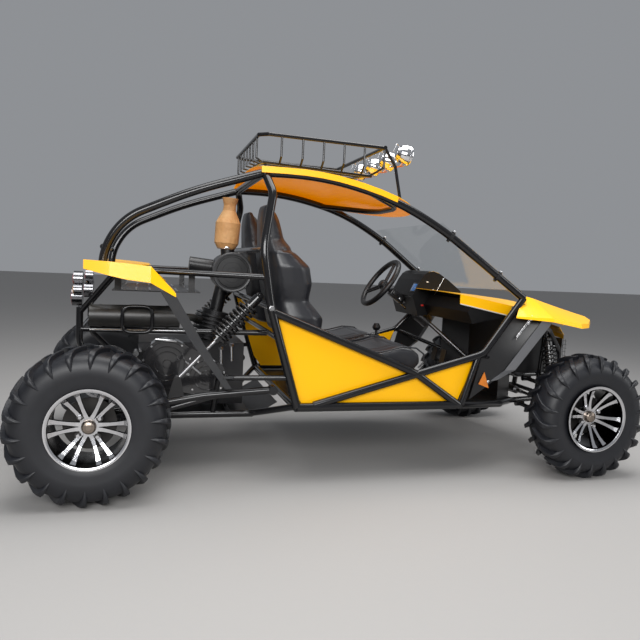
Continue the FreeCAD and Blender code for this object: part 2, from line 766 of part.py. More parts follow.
front_guard = guard_sheet(
    [
        (V(FRONT_X - 279, 452, 884), V(FRONT_X - 392, 580, 787), 4, 8, 20),
        (V(FRONT_X - 224, 452, 872), V(FRONT_X - 228, 644, 786), 8, 18, 34),
        (V(FRONT_X - 86, 452, 833), V(FRONT_X - 71, 646, 762), 8, 22, 40),
        (V(FRONT_X + 6, 452, 809), V(FRONT_X + 8, 598, 762), 6, 22, 44),
        (V(FRONT_X + 88, 462, 787), V(FRONT_X + 88, 506, 772), 4, 16, 22),
    ],
    SHEET,
)
for piece in (rail, side, skirt, front_strut, hood):
    front_guard = front_guard.cut(piece)
front_guard = largest(front_guard)
front = largest(front.cut(front_guard).cut(mirrored(front_guard)))
parts["front_fenders"] = pair(front_guard)
parts["hood"] = hood.cut(front)
parts["front_frame"] = front

RAIL_TOP = 935 + (BRACE - 3) / 2 + SEAT_GAP + SHEET
rear_guard = guard_sheet(
    [
        (V(REAR_X - 46, 380, RAIL_TOP + 6), V(REAR_X - 34, 648, 974), 5, 36, SHEET + 1),
        (V(REAR_X + 65, 388, RAIL_TOP), V(REAR_X + 65, 674, 970), 8, 55, SHEET + 1),
        (V(REAR_X + 130, 394, RAIL_TOP), V(REAR_X + 130, 676, 966), 8, 64, SHEET + 1),
        (V(REAR_X + 220, 405, RAIL_TOP), V(REAR_X + 222, 676, 958), 8, 66, SHEET + 1),
        (V(REAR_X + 318, 520, 860), V(REAR_X + 322, 660, 851), 5, 14, SHEET + 1),
    ],
    SHEET,
).cut(rear).cut(rear_top)
parts["rear_fenders"] = pair(rear_guard)

rear_strut = upright_sheet(
    [
        (V(-611, 522, 430), V(-581, 522, 430)),
        (V(-760, 580, 634), V(-714, 580, 634)),
        (V(REAR_X + 257, 652, 862), V(REAR_X + 317, 652, 852)),
    ],
    4,
)
strut_tab = rod(V(-572, 514, 479), V(-622, 533, 482), 14)
rear_strut = fused([rear_strut, strut_tab]).cut(rear).cut(rear_guard)
parts["rear_fender_struts"] = pair(largest(rear_strut))

ROOF_HALF = 462.0
ROOF_TIP_X = 408.0
ROOF_FRONT_R = 581.8          # radius of the front edge in plan
ROOF_STATIONS = (
    # x, z at the edges (24 mm over the rail's axis), crown
    (-474, 1420.0, 34),
    (-357, 1421.5, 35),
    (-274, 1420.5, 36),
    (-190, 1415.0, 36),
    (-108, 1404.5, 37),
    (-27, 1389.0, 40),
    (15, 1380.0, 43),
    (97, 1358.5, 49),
    (180, 1331.5, 54),
    (262, 1299.0, 57),
    (345, 1258.0, 59),
    (412, 1221.0, 60),
)


def roof_sheet():
    """Crowned roof skin with a hanging edge outside each rail and a front edge curved in plan."""
    depth = 28.0
    wires = []
    for x, z, crown in ROOF_STATIONS:
        half = ROOF_HALF
        over = Part.Arc(V(x, -half, z), V(x, 0, z + crown), V(x, half, z)).toShape()
        corners = [
            V(x, half, z),
            V(x, half + 2, z - depth),
            V(x, half - SHEET, z - depth),
            V(x, half - SHEET, z - SHEET),
        ]
        down = Part.makePolygon(corners)
        back = Part.makePolygon([V(p.x, -p.y, p.z) for p in reversed(corners)])
        under = Part.Arc(corners[-1], V(x, 0, z + crown - SHEET), V(x, SHEET - half, z - SHEET)).toShape()
        wires.append(Part.Wire([over] + down.Edges + [under] + back.Edges))
    outline = Part.makeCylinder(ROOF_FRONT_R, 400, V(ROOF_TIP_X - ROOF_FRONT_R, 0, 1100))
    return ruled(wires).common(outline)


roof = roof_sheet()
for piece in (rail, mirrored(rail), hoop, rear):
    roof = roof.cut(piece)
roof = largest(roof)
parts["roof_shell"] = roof

bow_end = V(54, 432, 1343)
bow_side = V(300, 170, 1306)
bow = tube(
    [V(bow_end.x, -bow_end.y, bow_end.z), V(bow_side.x, -bow_side.y, bow_side.z), bow_side, bow_end], BRACE, 250
)
bow = bow.cut(rail).cut(mirrored(rail)).cut(roof)
parts["roof_cross_tube"] = largest(bow)

# Windscreen: one flat sheet that lies on both pillars
pillar_start = V(450, ROOF_Y + 20, 1172)
down_pillar = (PILLAR_FOOT - pillar_start).normalize()
GLASS_UP = V(-down_pillar.z, 0, down_pillar.x).normalize()
lift = GLASS_UP * (TUBE / 2 + SEAT_GAP)
glass_top = pillar_start - down_pillar * 55 + lift
glass_foot = pillar_start + down_pillar * 490 + lift
glass = prism(
    [glass_top, V(glass_top.x, -glass_top.y, glass_top.z), V(glass_foot.x, -glass_foot.y, glass_foot.z), glass_foot],
    GLASS_UP * 5,
)
parts["windshield"] = glass.cut(hood).cut(rail).cut(mirrored(rail))

FLOOR_TOP = RAIL_Z - TUBE / 2 - SEAT_GAP
floor = box(-300, 500, -SIDE_Y + 4, SIDE_Y - 4, FLOOR_TOP - SHEET, FLOOR_TOP)
floor = floor.cut(front).cut(rear).cut(hoop)
parts["floor_pan"] = floor


def level_sheet(stations, thick):
    """Sheet across the car: stations of (x, half width, z)."""
    wires = []
    for x, half, z in stations:
        corners = [V(x, -half, z), V(x, half, z), V(x, half, z - thick), V(x, -half, z - thick)]
        wires.append(Part.makePolygon(corners + corners[:1]))
    return ruled(wires)


skid = level_sheet([(-330, 306, 322), (-450, 306, 252.7), (REAR_X + 257, 306, 252.7), (REAR_X + 122, 306, 300)], SHEET)
parts["skid_pan"] = skid.cut(rear).cut(hoop)


def foot_box():
    """Front floor, the two side walls between the nose tubes and the toe board."""
    toe_x = FRONT_X - 188
    floor_mid, floor_front = (850, 347, 302), (toe_x, 236, NOSE_Z - 2)
    pieces = [level_sheet([(500.3, 534, FLOOR_TOP), floor_mid, floor_front], SHEET)]
    wall = [V(850, 344, 300), V(toe_x, 234, NOSE_Z - 3), V(toe_x, 234, 735), V(850, 344, 700)]
    wall = prism(wall, V(0, -SHEET, 0))
    toe = box(toe_x - SHEET, toe_x, -234, 234, NOSE_Z - 4, 740)
    return fused(pieces + [wall, mirrored(wall), toe])


steering_box = parts["steering_box"]
footwell = foot_box()
for piece in (side, mirrored(side), front, steering_box):
    footwell = footwell.cut(piece)
footwell = largest(footwell)
parts["foot_box"] = footwell

# Dark sheets that close the sides of the nose
cheek = prism(
    [V(x + FRONT_X, 196, z + NOSE_Z) for x, z in ((-160, 142), (128, 142), (142, 256), (40, 376), (-150, 412))],
    V(0, SHEET, 0),
)
for piece in (front, hood, steering_box):
    cheek = cheek.cut(piece)
parts["nose_sides"] = pair(largest(cheek))


# ---------------------------------------------------------------- cabin
SEAT_Y = 262.0
SEAT_BACK = (
    # z, back face x, front face x, half width
    (655.3, -362, -104, 205),
    (734, -380, -130, 216),
    (820, -398, -207, 198),
    (900, -414, -196, 222),
    (978, -428, -214, 236),
    (1044, -436, -288, 214),
    (1108, -440, -334, 148),
    (1237, -444, -374, 116),
    (1284, -436, -396, 84),
)


def seat_cushion():
    """Low cushion with a rolled front edge and a dished middle."""
    outline = [(-130, 500), (330, 500), (366, 540), (338, 600), (204, 640), (-60, 655), (-130, 655)]
    return xz_plate(outline, -225, 225)


def seat_back():
    """Backrest with a waist and shoulder wings, narrowing to the headrest."""
    wires = []
    for z, x_back, x_front, half in SEAT_BACK:
        corners = [V(x_back, -half, z), V(x_front, -half, z), V(x_front, half, z), V(x_back, half, z)]
        wires.append(Part.makePolygon(corners + corners[:1]))
    return ruled(wires)


seat_place = V(0, SEAT_Y, 0)
parts["seat_cushions"] = pair(at(seat_cushion(), seat_place))
seat_bars = [box(x, x + 30, -190, 190, FLOOR_TOP + SEAT_GAP, 500 - SEAT_GAP) for x in (-120, 240)]
seat_bars += [box(-100, 250, y - 15, y + 15, 440, 470) for y in (-175, 175)]
parts["seat_frames"] = pair(at(fused(seat_bars), seat_place))
parts["seat_backs"] = pair(at(seat_back(), seat_place))

# Domed instrument pod on the driver's side, over a low switch panel
POD_OUTLINE = [
    (538, 838), (560, 884), (584, 932), (608, 965), (632, 981), (660, 986), (700, 974), (759, 938), (820, 893),
    (846, 872), (846, 800), (706, 745), (640, 730), (578, 722),
]
pod = xz_plate(POD_OUTLINE, 118, 452)
shelf = xz_plate([(640, 852), (840, 815), (840, 772), (706, 745), (640, 730), (612, 790)], -410, 118.5)
dash = fused([pod, shelf])
column_hole = rod(WHEEL_CENTRE + COLUMN * 60, WHEEL_CENTRE + COLUMN * (COLUMN_LENGTH + 20), 60)
for piece in (steering_box, hood, glass, front, rail, mirrored(rail), side, mirrored(side), column_hole):
    dash = dash.cut(piece)
parts["dashboard"] = largest(dash)

lever_foot = V(285, 0, FLOOR_TOP + SEAT_GAP)
knob = V(280, 0, 656)
up = V(0, 0, 1)
gear_lever = fused(
    [
        rod(lever_foot, knob, 14),
        Part.makeCone(15, 24, 16, knob - up * 8, up),
        Part.makeCone(24, 13, 22, knob + up * 8, up),
        box(200, 370, -34, 34, FLOOR_TOP + SEAT_GAP, 480),
    ]
)
parts["gear_lever"] = gear_lever

pedals = []
for y in (165, 285):
    arm_foot = V(815, y, 340)
    pad = prism([V(766, y - 30, 440), V(766, y + 30, 440), V(784, y + 30, 520), V(784, y - 30, 520)], V(8, 0, -2))
    foot = box(790, 840, y - 20, y + 20, 290, 344)
    pedals.append(fused([foot, rod(arm_foot, V(780, y, 480), 14), pad]).cut(footwell))
parts["pedals"] = Part.makeCompound([largest(pedal) for pedal in pedals])

# ---------------------------------------------------------------- engine bay
BLOCK_TOP = 590.0
BLOCK_SIDE = -170.0           # the engine's right face
block = box(REAR_X + 177, -480, BLOCK_SIDE, 160, 286, BLOCK_TOP)
parts["engine_block"] = block.cut(rear)
lean = V(0.25, 0, 1)
fins = [Part.makeCylinder(66, 150, V(-640, 0, BLOCK_TOP + SEAT_GAP), lean)]
for k in range(6):
    fins.append(Part.makeCylinder(92, 7, V(-640 + 5 * k, 0, 612 + 19 * k), lean))
cylinder = fused(fins).cut(box(-1000, -200, -400, 400, 400, BLOCK_TOP + SEAT_GAP))
parts["engine_cylinder"] = cylinder

# Belt cover over both pulleys, with a raised lid
cover = []
for x, z, radius in ((-853, 500, 116), (-668, 432, 94)):
    middle = V(x, BLOCK_SIDE - SEAT_GAP, z)
    cover.append(Part.makeCylinder(radius, 84, middle, V(0, -1, 0)))
    cover.append(Part.makeCylinder(radius - 14, 96, middle, V(0, -1, 0)))
bridge = [V(-853 + 40, 0, 500 + 109), V(-668 + 32, 0, 432 + 88), V(-668 - 32, 0, 432 - 88), V(-853 - 40, 0, 500 - 109)]
cover.append(prism([V(p.x, BLOCK_SIDE - SEAT_GAP, p.z) for p in bridge], V(0, -84, 0)))
parts["belt_cover"] = fused(cover).cut(rear)

drum = fused(
    [
        Part.makeCylinder(95, 190, V(-548, -150, 937), V(0, 1, 0)),
        Part.makeCylinder(38, 190, V(-560, -20, 950), V(-1, 0, 0.1)),
        Part.makeCylinder(34, 70, V(-562, -80, 1000), V(-0.1, 0, 1)),
        Part.makeCylinder(34, 200, V(-606, 20, 725), V(0.22, 0, 1)),
    ]
)
parts["air_filter"] = drum.cut(rear).cut(hoop).cut(cylinder)

# Intake pre-filter in a tied wrap, narrower at its tied top
bundle_foot = V(-575, -80, 1050)
bundle_up = V(0.06, 0, 1).normalize()
bundle = []
for start, length, r_low, r_high in ((0, 30, 42, 60), (30, 100, 60, 62), (130, 62, 62, 32), (192, 26, 32, 30), (218, 36, 30, 40)):
    bundle.append(Part.makeCone(r_low, r_high, length, bundle_foot + bundle_up * start, bundle_up))
parts["intake_sleeve"] = fused(bundle).cut(parts["air_filter"]).cut(hoop).cut(rear)

MUFFLER_R = 50.0
MUFFLER_Y = -312.0
MUFFLER_Z = MUFFLER_RAIL_Z + (BRACE - 4) / 2 + MUFFLER_R + SEAT_GAP
muffler = Part.makeCylinder(MUFFLER_R, 390, V(REAR_X - 33, MUFFLER_Y, MUFFLER_Z), V(1, 0, 0))
pipe = tube(
    [V(REAR_X + 352, MUFFLER_Y, MUFFLER_Z), V(-740, MUFFLER_Y, MUFFLER_Z), V(-720, -150, 700), V(-690, -60, 690)],
    34,
    40,
)
muffler = fused([muffler, pipe]).cut(cylinder).cut(rear)
parts["muffler"] = muffler
guard_middle = V(REAR_X + 171, MUFFLER_Y - MUFFLER_R - 9, 716)
loop = [(64 * math.cos(math.radians(30 * k)), 58 * math.sin(math.radians(30 * k))) for k in range(13)]
guard_loop = kinked_rod([guard_middle + V(x, 0, z) for x, z in loop], 16)
guard_feet = [rod(guard_middle + V(x, 0, -58), V(guard_middle.x + x, -322, MUFFLER_RAIL_Z), 11) for x in (-22, 22)]
parts["muffler_guard"] = fused([guard_loop] + guard_feet).cut(muffler).cut(rear)

plate = box(REAR_X + 62, -720, -395, 395, 842, 846)
tabs = fused([box(x - 14, x + 14, 391, 395, 842, 925) for x in (REAR_X + 87, -760)])
rack = fused([plate, tabs, mirrored(tabs)])
for piece in (rear, rear_guard, mirrored(rear_guard), cylinder):
    rack = rack.cut(piece)
parts["rack_plate"] = rack

# Tail lamps: two round lamps over each other on an upright plate, with an indicator beside them
upright_x = REAR_X - 76
lamp_shapes = [box(upright_x - 8, upright_x + 8, 284, 306, 760 + SEAT_GAP, 915)]
for y, z, radius, length in ((295, 806, 40, 44), (295, 884, 35, 38), (338, 838, 24, 34)):
    lamp_shapes.append(Part.makeCylinder(radius, length, V(upright_x + 12, y, z), V(-1, 0, 0)))
lamp = fused(lamp_shapes).cut(rear).cut(rear_guard)
parts["tail_lamps"] = pair(largest(lamp))

# ---------------------------------------------------------------- roof basket
RIM_ROD = 18.0
FLOOR_ROD = 14.0
SLAT = 10.0
BASKET_REAR = V(-474, 390, 1576)
BASKET_FRONT = V(128, 390, 1564)
FLOOR_REAR = V(-440, 350, 1455)
FLOOR_FRONT = V(70, 350, 1431)
LAMP_BAR = V(189, 352, 1480)
WALL_DROP = 93.0              # straight part of each slat


def floor_point(x, y):
    """Point on the basket's floor, which rises a little to its middle line."""
    share = (x - FLOOR_REAR.x) / (FLOOR_FRONT.x - FLOOR_REAR.x)
    z = FLOOR_REAR.z + share * (FLOOR_FRONT.z - FLOOR_REAR.z)
    return V(x, y, z + 20 * (1 - (y / FLOOR_REAR.y) ** 2))


def roof_basket():
    """Open basket of bent rods: rim, slatted walls, floor, two front legs and the lamp bar."""
    chamfer = 40
    rim_path = [BASKET_FRONT, BASKET_REAR + V(chamfer, 0, -1), BASKET_REAR + V(0, -chamfer, 0)]
    rim_path += [V(p.x, -p.y, p.z) for p in reversed(rim_path)]
    pieces = [kinked_rod(rim_path, RIM_ROD), cross(BASKET_FRONT + V(0, RIM_ROD / 2, 0), RIM_ROD + 1)]
    pieces.append(cross(LAMP_BAR + V(0, FLOOR_ROD / 2, 0), FLOOR_ROD + 1))
    steps = [k / 6 for k in range(7)]
    for hand in (-1, 1):
        side_rail = [floor_point(x, hand * FLOOR_REAR.y) for x in (FLOOR_REAR.x - 10, FLOOR_FRONT.x + 11)]
        pieces.append(rod(side_rail[0], side_rail[1], FLOOR_ROD))
        for share in steps[1:]:
            high = BASKET_REAR * (1 - share) + BASKET_FRONT * share
            low = FLOOR_REAR * (1 - share) + FLOOR_FRONT * share
            points = [high, high - V(0, 0, WALL_DROP), V(high.x, low.y, low.z) if share < 1 else low]
            pieces.append(kinked_rod([V(p.x, hand * p.y, p.z) for p in points], SLAT))
    leg = kinked_rod(
        [BASKET_FRONT + V(0, 0, 2), V(LAMP_BAR.x, 384, LAMP_BAR.z), V(207, 426, 1312)], RIM_ROD - 3
    )
    foot = rod(V(-430, 300, 1462), V(-430, 300, 1430), SLAT + 1)
    for support in (leg, foot):
        support = largest(support.cut(roof).cut(rail))
        pieces += [support, mirrored(support)]
    for y in (-300, -200, -100, 0, 100, 200, 300):
        low = floor_point(FLOOR_REAR.x, y)
        pieces.append(rod(low, floor_point(FLOOR_FRONT.x, y), SLAT - 1))
        pieces.append(kinked_rod([V(BASKET_REAR.x, y, 1576), V(BASKET_REAR.x, y, 1480), low], SLAT))
    for x in (FLOOR_REAR.x, FLOOR_FRONT.x):
        pieces.append(kinked_rod([floor_point(x, y) for y in (-352, -225, -100, 0, 100, 225, 352)], SLAT + 2))
    return fused(pieces)


parts["roof_basket"] = largest(roof_basket())

# Work lamps: turned bowls on brackets over the lamp bar
LAMP_BOWL = [(0, -46), (24, -41), (40, -26), (49, -4), (50, 16), (46, 24), (0, 28)]
bar_top = LAMP_BAR.z + (FLOOR_ROD + 1) / 2 + SEAT_GAP
lamps = []
for y in (-330, -110, 110, 330):
    bowl = turned(LAMP_BOWL)
    bowl.rotate(V(0, 0, 0), V(0, 0, 1), -90)
    bowl.rotate(V(0, 0, 0), V(0, 1, 0), 12)
    bracket = xz_plate(
        [(180, bar_top), (198, bar_top), (262, 1500), (262, 1512), (240, 1512), (186, bar_top + 5)], y - 16, y + 16
    )
    lamps.append(fused([at(bowl, V(252, y, 1552)), bracket]))
parts["roof_lamps"] = Part.makeCompound(lamps)


def write_parts():
    os.makedirs("parts", exist_ok=True)
    for name, shape in parts.items():
        shape.exportStep(f"parts/{name}.step")


write_parts()
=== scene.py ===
"""Dune buggy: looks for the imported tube-framed sand car with its roof basket and rear engine.

Metres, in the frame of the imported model: +X forward, +Y to the driver's left, +Z up.
"""

import math

import bmesh
import bpy
from mathutils import Matrix, Vector


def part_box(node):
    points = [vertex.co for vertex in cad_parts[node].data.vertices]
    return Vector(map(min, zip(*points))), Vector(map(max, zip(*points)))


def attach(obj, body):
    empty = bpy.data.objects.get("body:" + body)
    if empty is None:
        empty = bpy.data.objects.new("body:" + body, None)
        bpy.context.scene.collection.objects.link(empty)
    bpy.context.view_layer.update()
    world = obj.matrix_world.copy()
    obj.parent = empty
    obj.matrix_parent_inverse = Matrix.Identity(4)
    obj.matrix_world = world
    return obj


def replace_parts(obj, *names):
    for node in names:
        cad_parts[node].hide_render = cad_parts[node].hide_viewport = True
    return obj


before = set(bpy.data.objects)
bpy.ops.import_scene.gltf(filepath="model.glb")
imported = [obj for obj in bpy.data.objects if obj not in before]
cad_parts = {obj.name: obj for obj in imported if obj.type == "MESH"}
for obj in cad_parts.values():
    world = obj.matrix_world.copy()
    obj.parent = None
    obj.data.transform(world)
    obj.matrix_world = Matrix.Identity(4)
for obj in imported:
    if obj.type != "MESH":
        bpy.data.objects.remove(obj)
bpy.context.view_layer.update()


# ---------------------------------------------------------------- cage tubes
# Bent and welded steel tube, powder coated in gloss black over a slightly uneven skin.
# Dust settles thinly on whatever faces up, and a hex bolt stands on each knee of the hoop.


def group_node(name, inputs, outputs):
    """Empty shader node group with named sockets, and its input and output nodes."""
    tree = bpy.data.node_groups.new(name, "ShaderNodeTree")
    for label, kind, value in inputs:
        socket = tree.interface.new_socket(label, in_out="INPUT", socket_type=kind)
        socket.default_value = value
    for label, kind in outputs:
        tree.interface.new_socket(label, in_out="OUTPUT", socket_type=kind)
    return tree, tree.nodes.new("NodeGroupInput"), tree.nodes.new("NodeGroupOutput")


def settled_dust_group():
    """Colour and roughness of a surface with dust lying on the faces that look up."""
    tree, given, result = group_node(
        "settled_dust",
        [
            ("Colour", "NodeSocketColor", (0.5, 0.5, 0.5, 1)),
            ("Dust", "NodeSocketColor", (0.5, 0.5, 0.5, 1)),
            ("Amount", "NodeSocketFloat", 0.1),
            ("Roughness", "NodeSocketFloat", 0.3),
        ],
        [("Colour", "NodeSocketColor"), ("Roughness", "NodeSocketFloat")],
    )
    nodes, links = tree.nodes, tree.links
    place = nodes.new("ShaderNodeTexCoord")
    patches = nodes.new("ShaderNodeTexNoise")
    patches.inputs["Scale"].default_value = 14.0
    patches.inputs["Detail"].default_value = 6.0
    patches.inputs["Roughness"].default_value = 0.65
    links.new(place.outputs["Object"], patches.inputs["Vector"])
    spread = nodes.new("ShaderNodeMapRange")
    spread.inputs["From Min"].default_value = 0.35
    spread.inputs["From Max"].default_value = 0.75
    links.new(patches.outputs["Fac"], spread.inputs["Value"])
    facing = nodes.new("ShaderNodeNewGeometry")
    split = nodes.new("ShaderNodeSeparateXYZ")
    links.new(facing.outputs["Normal"], split.inputs["Vector"])
    upward = nodes.new("ShaderNodeMapRange")
    upward.inputs["From Min"].default_value = -0.2
    upward.inputs["From Max"].default_value = 1.0
    upward.inputs["To Min"].default_value = 0.25
    links.new(split.outputs["Z"], upward.inputs["Value"])
    lying = nodes.new("ShaderNodeMath")
    lying.operation = "MULTIPLY"
    links.new(spread.outputs["Result"], lying.inputs[0])
    links.new(upward.outputs["Result"], lying.inputs[1])
    share = nodes.new("ShaderNodeMath")
    share.operation = "MULTIPLY"
    links.new(lying.outputs["Value"], share.inputs[0])
    links.new(given.outputs["Amount"], share.inputs[1])
    tint = nodes.new("ShaderNodeMix")
    tint.data_type = "RGBA"
    links.new(share.outputs["Value"], tint.inputs["Factor"])
    links.new(given.outputs["Colour"], tint.inputs["A"])
    links.new(given.outputs["Dust"], tint.inputs["B"])
    dull = nodes.new("ShaderNodeMapRange")
    links.new(share.outputs["Value"], dull.inputs["Value"])
    links.new(given.outputs["Roughness"], dull.inputs["To Min"])
    dull.inputs["To Max"].default_value = 0.9
    links.new(tint.outputs["Result"], result.inputs["Colour"])
    links.new(dull.outputs["Result"], result.inputs["Roughness"])
    return tree


def fine_relief_group():
    """Height of an uneven skin, such as orange peel, cast grain or pressed grain."""
    tree, given, result = group_node(
        "fine_relief",
        [("Scale", "NodeSocketFloat", 400.0), ("Cells", "NodeSocketFloat", 0.0)],
        [("Height", "NodeSocketFloat")],
    )
    nodes, links = tree.nodes, tree.links
    place = nodes.new("ShaderNodeTexCoord")
    peel = nodes.new("ShaderNodeTexNoise")
    peel.inputs["Detail"].default_value = 4.0
    grain = nodes.new("ShaderNodeTexVoronoi")
    for texture in (peel, grain):
        links.new(place.outputs["Object"], texture.inputs["Vector"])
        links.new(given.outputs["Scale"], texture.inputs["Scale"])
    blend = nodes.new("ShaderNodeMix")
    blend.data_type = "FLOAT"
    links.new(given.outputs["Cells"], blend.inputs["Factor"])
    links.new(peel.outputs["Fac"], blend.inputs["A"])
    links.new(grain.outputs["Distance"], blend.inputs["B"])
    links.new(blend.outputs["Result"], result.inputs["Height"])
    return tree


settled_dust = settled_dust_group()
fine_relief = fine_relief_group()


ROAD_DUST = (0.42, 0.38, 0.32)


def finish(
    name,
    colour,
    roughness,
    metallic=0.0,
    coat=0.0,
    specular=0.5,
    dust=0.1,
    dust_colour=ROAD_DUST,
    scale=500.0,
    depth=0.0002,
    cells=0.0,
):
    """Material of one finish: a base colour under dust, with a relief of the given scale and depth."""
    made = bpy.data.materials.new(name)
    made.use_nodes = True
    nodes, links = made.node_tree.nodes, made.node_tree.links
    surface = nodes["Principled BSDF"]
    surface.inputs["Metallic"].default_value = metallic
    surface.inputs["Coat Weight"].default_value = coat
    surface.inputs["Coat Roughness"].default_value = 0.06
    surface.inputs["Specular IOR Level"].default_value = specular
    dusting = nodes.new("ShaderNodeGroup")
    dusting.node_tree = settled_dust
    dusting.name = "dusting"
    dusting.inputs["Colour"].default_value = (*colour, 1)
    dusting.inputs["Dust"].default_value = (*dust_colour, 1)
    dusting.inputs["Amount"].default_value = dust
    dusting.inputs["Roughness"].default_value = roughness
    links.new(dusting.outputs["Colour"], surface.inputs["Base Color"])
    links.new(dusting.outputs["Roughness"], surface.inputs["Roughness"])
    relief = nodes.new("ShaderNodeGroup")
    relief.node_tree = fine_relief
    relief.inputs["Scale"].default_value = scale
    relief.inputs["Cells"].default_value = cells
    bump = nodes.new("ShaderNodeBump")
    bump.name = "relief bump"
    bump.inputs["Strength"].default_value = 0.5
    bump.inputs["Distance"].default_value = depth
    links.new(relief.outputs["Height"], bump.inputs["Height"])
    links.new(bump.outputs["Normal"], surface.inputs["Normal"])
    return made


def dress(material, *names):
    """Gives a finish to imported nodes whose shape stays."""
    for name in names:
        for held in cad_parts[name].material_slots:
            held.material = material


def spun(profile, steps=32, closed=False):
    """Form turned about the Y axis from a run of (radius, y) pairs."""
    shell = bmesh.new()
    corners = [shell.verts.new((r, y, 0)) for r, y in profile]
    ends = corners[1:] + corners[:1] if closed else corners[1:]
    edges = [shell.edges.new((a, b)) for a, b in zip(corners, ends)]
    bmesh.ops.spin(
        shell,
        geom=corners + edges,
        cent=(0, 0, 0),
        axis=(0, 1, 0),
        angle=math.tau,
        steps=steps,
        use_merge=True,
    )
    bmesh.ops.remove_doubles(shell, verts=shell.verts, dist=1e-6)
    bmesh.ops.recalc_face_normals(shell, faces=shell.faces)
    return shell


def round_section(radius, thick, sides=12):
    """Closed run of (radius, y) pairs round a ring's section."""
    angles = [math.tau * k / sides for k in range(sides)]
    return [(radius + thick * math.cos(a), thick * math.sin(a)) for a in angles]


def toward(place, axis):
    """Matrix that puts a form's origin at a place and its Y axis along another axis."""
    return Matrix.Translation(place) @ Vector(axis).to_track_quat("Y", "Z").to_matrix().to_4x4()


def add(shell, part, *places):
    """Adds copies of a small form to a shell, one for each matrix."""
    data = bpy.data.meshes.new("part")
    part.to_mesh(data)
    for place in places:
        copy = data.copy()
        copy.transform(place)
        shell.from_mesh(copy)
        bpy.data.meshes.remove(copy)
    bpy.data.meshes.remove(data)


def bar(shell, start, end, radius, tip=None, sides=20):
    """Adds a round bar, or a cone where the tip's radius is given."""
    start, end = Vector(start), Vector(end)
    turn = (end - start).to_track_quat("Z", "Y").to_matrix().to_4x4()
    bmesh.ops.create_cone(
        shell,
        cap_ends=True,
        segments=sides,
        radius1=radius,
        radius2=radius if tip is None else tip,
        depth=(end - start).length,
        matrix=Matrix.Translation((start + end) / 2) @ turn,
    )


def block(shell, centre, size, soft=0.002, turn=None):
    """Adds a box with softened edges, turned by a matrix about its centre."""
    place = Matrix.Translation(centre) @ (turn or Matrix()) @ Matrix.Diagonal((*size, 1))
    made = bmesh.ops.create_cube(shell, size=1.0, matrix=place)
    edges = list({edge for vert in made["verts"] for edge in vert.link_edges})
    bmesh.ops.bevel(shell, geom=edges, offset=soft, segments=2, profile=0.5, affect="EDGES", material=-1)


def swept(sections):
    """Closed form through a run of outlines with the same number of corners."""
    shell = bmesh.new()
    lid = [shell.faces.new([shell.verts.new(corner) for corner in sections[0]])]
    for here, there in zip(sections, sections[1:]):
        grown = bmesh.ops.extrude_face_region(shell, geom=lid)
        lid = [item for item in grown["geom"] if isinstance(item, bmesh.types.BMFace)]
        for vert in [item for item in grown["geom"] if isinstance(item, bmesh.types.BMVert)]:
            corner = min(range(len(here)), key=lambda k: (Vector(here[k]) - vert.co).length)
            vert.co = there[corner]
    bmesh.ops.recalc_face_normals(shell, faces=shell.faces)
    return shell


def piece(name, shell, body, material, crease=35):
    """Finished object from a bmesh: riding on a body, in one material, smooth up to an angle."""
    mesh = bpy.data.meshes.new(name)
    shell.to_mesh(mesh)
    shell.free()
    mesh.shade_smooth()
    mesh.set_sharp_from_angle(angle=math.radians(crease))
    made = bpy.data.objects.new(name, mesh)
    bpy.context.scene.collection.objects.link(made)
    mesh.materials.append(material)
    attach(made, body)
    return made


def both_sides(points):
    """The points and their mirror images across the car's middle plane."""
    return [(x, hand * y, z) for x, y, z in points for hand in (-1, 1)]


def facing_out(points):
    """Matrices that stand a form at the points on both sides, away from the car's middle."""
    return [toward(place, (0, math.copysign(1, place[1]), 0)) for place in both_sides(points)]


black_tube = finish(
    "black_tube", (0.005, 0.005, 0.006), 0.16, coat=0.2, specular=0.4, dust=0.015, scale=700.0, depth=0.0001
)
dress(black_tube, "main_hoop", "roof_rail_left", "roof_rail_right", "roof_cross_tube")
dress(black_tube, "side_frame_left", "side_frame_right", "front_frame", "rear_frame", "rear_top_tubes")
dress(black_tube, "front_upper_arms", "front_lower_arms", "trailing_arms")

bright_steel = finish(
    "bright_steel", (0.62, 0.62, 0.63), 0.22, metallic=1.0, dust=0.05, scale=900.0, depth=0.0001
)
HEX_PROFILE = (
    (0, 0.009), (0.0085, 0.009), (0.0095, 0.0078), (0.0095, 0.0015), (0.013, 0.0015), (0.013, 0), (0, 0),
)
hex_head = spun(HEX_PROFILE, 6)
KNEE_BOLT = (-0.428, 0.580, 0.796)
cage_bolts = bmesh.new()
add(cage_bolts, hex_head, *facing_out([KNEE_BOLT]))
piece("cage_bolts", cage_bolts, "chassis", bright_steel)


# ---------------------------------------------------------------- windscreen
# One flat sheet of clear plastic lying on the front pillars, held by a band clamp high and low
# on each side, with a bright screw over the pillar and a black nut under it.
clear = bpy.data.materials.new("clear_plastic")
clear.use_nodes = True
clear_nodes, clear_links = clear.node_tree.nodes, clear.node_tree.links
clear_nodes.remove(clear_nodes["Principled BSDF"])
see_through = clear_nodes.new("ShaderNodeBsdfTransparent")
see_through.inputs["Color"].default_value = (0.96, 0.97, 0.97, 1)
gloss = clear_nodes.new("ShaderNodeBsdfGlossy")
gloss.inputs["Roughness"].default_value = 0.04
grazing = clear_nodes.new("ShaderNodeLayerWeight")
edge_share = clear_nodes.new("ShaderNodeMapRange")
edge_share.inputs["From Min"].default_value = 0.55
edge_share.inputs["To Min"].default_value = 0.02
edge_share.inputs["To Max"].default_value = 0.12
haze = clear_nodes.new("ShaderNodeMixShader")
clear_links.new(grazing.outputs["Facing"], edge_share.inputs["Value"])
clear_links.new(edge_share.outputs["Result"], haze.inputs["Fac"])
clear_links.new(see_through.outputs["BSDF"], haze.inputs[1])
clear_links.new(gloss.outputs["BSDF"], haze.inputs[2])
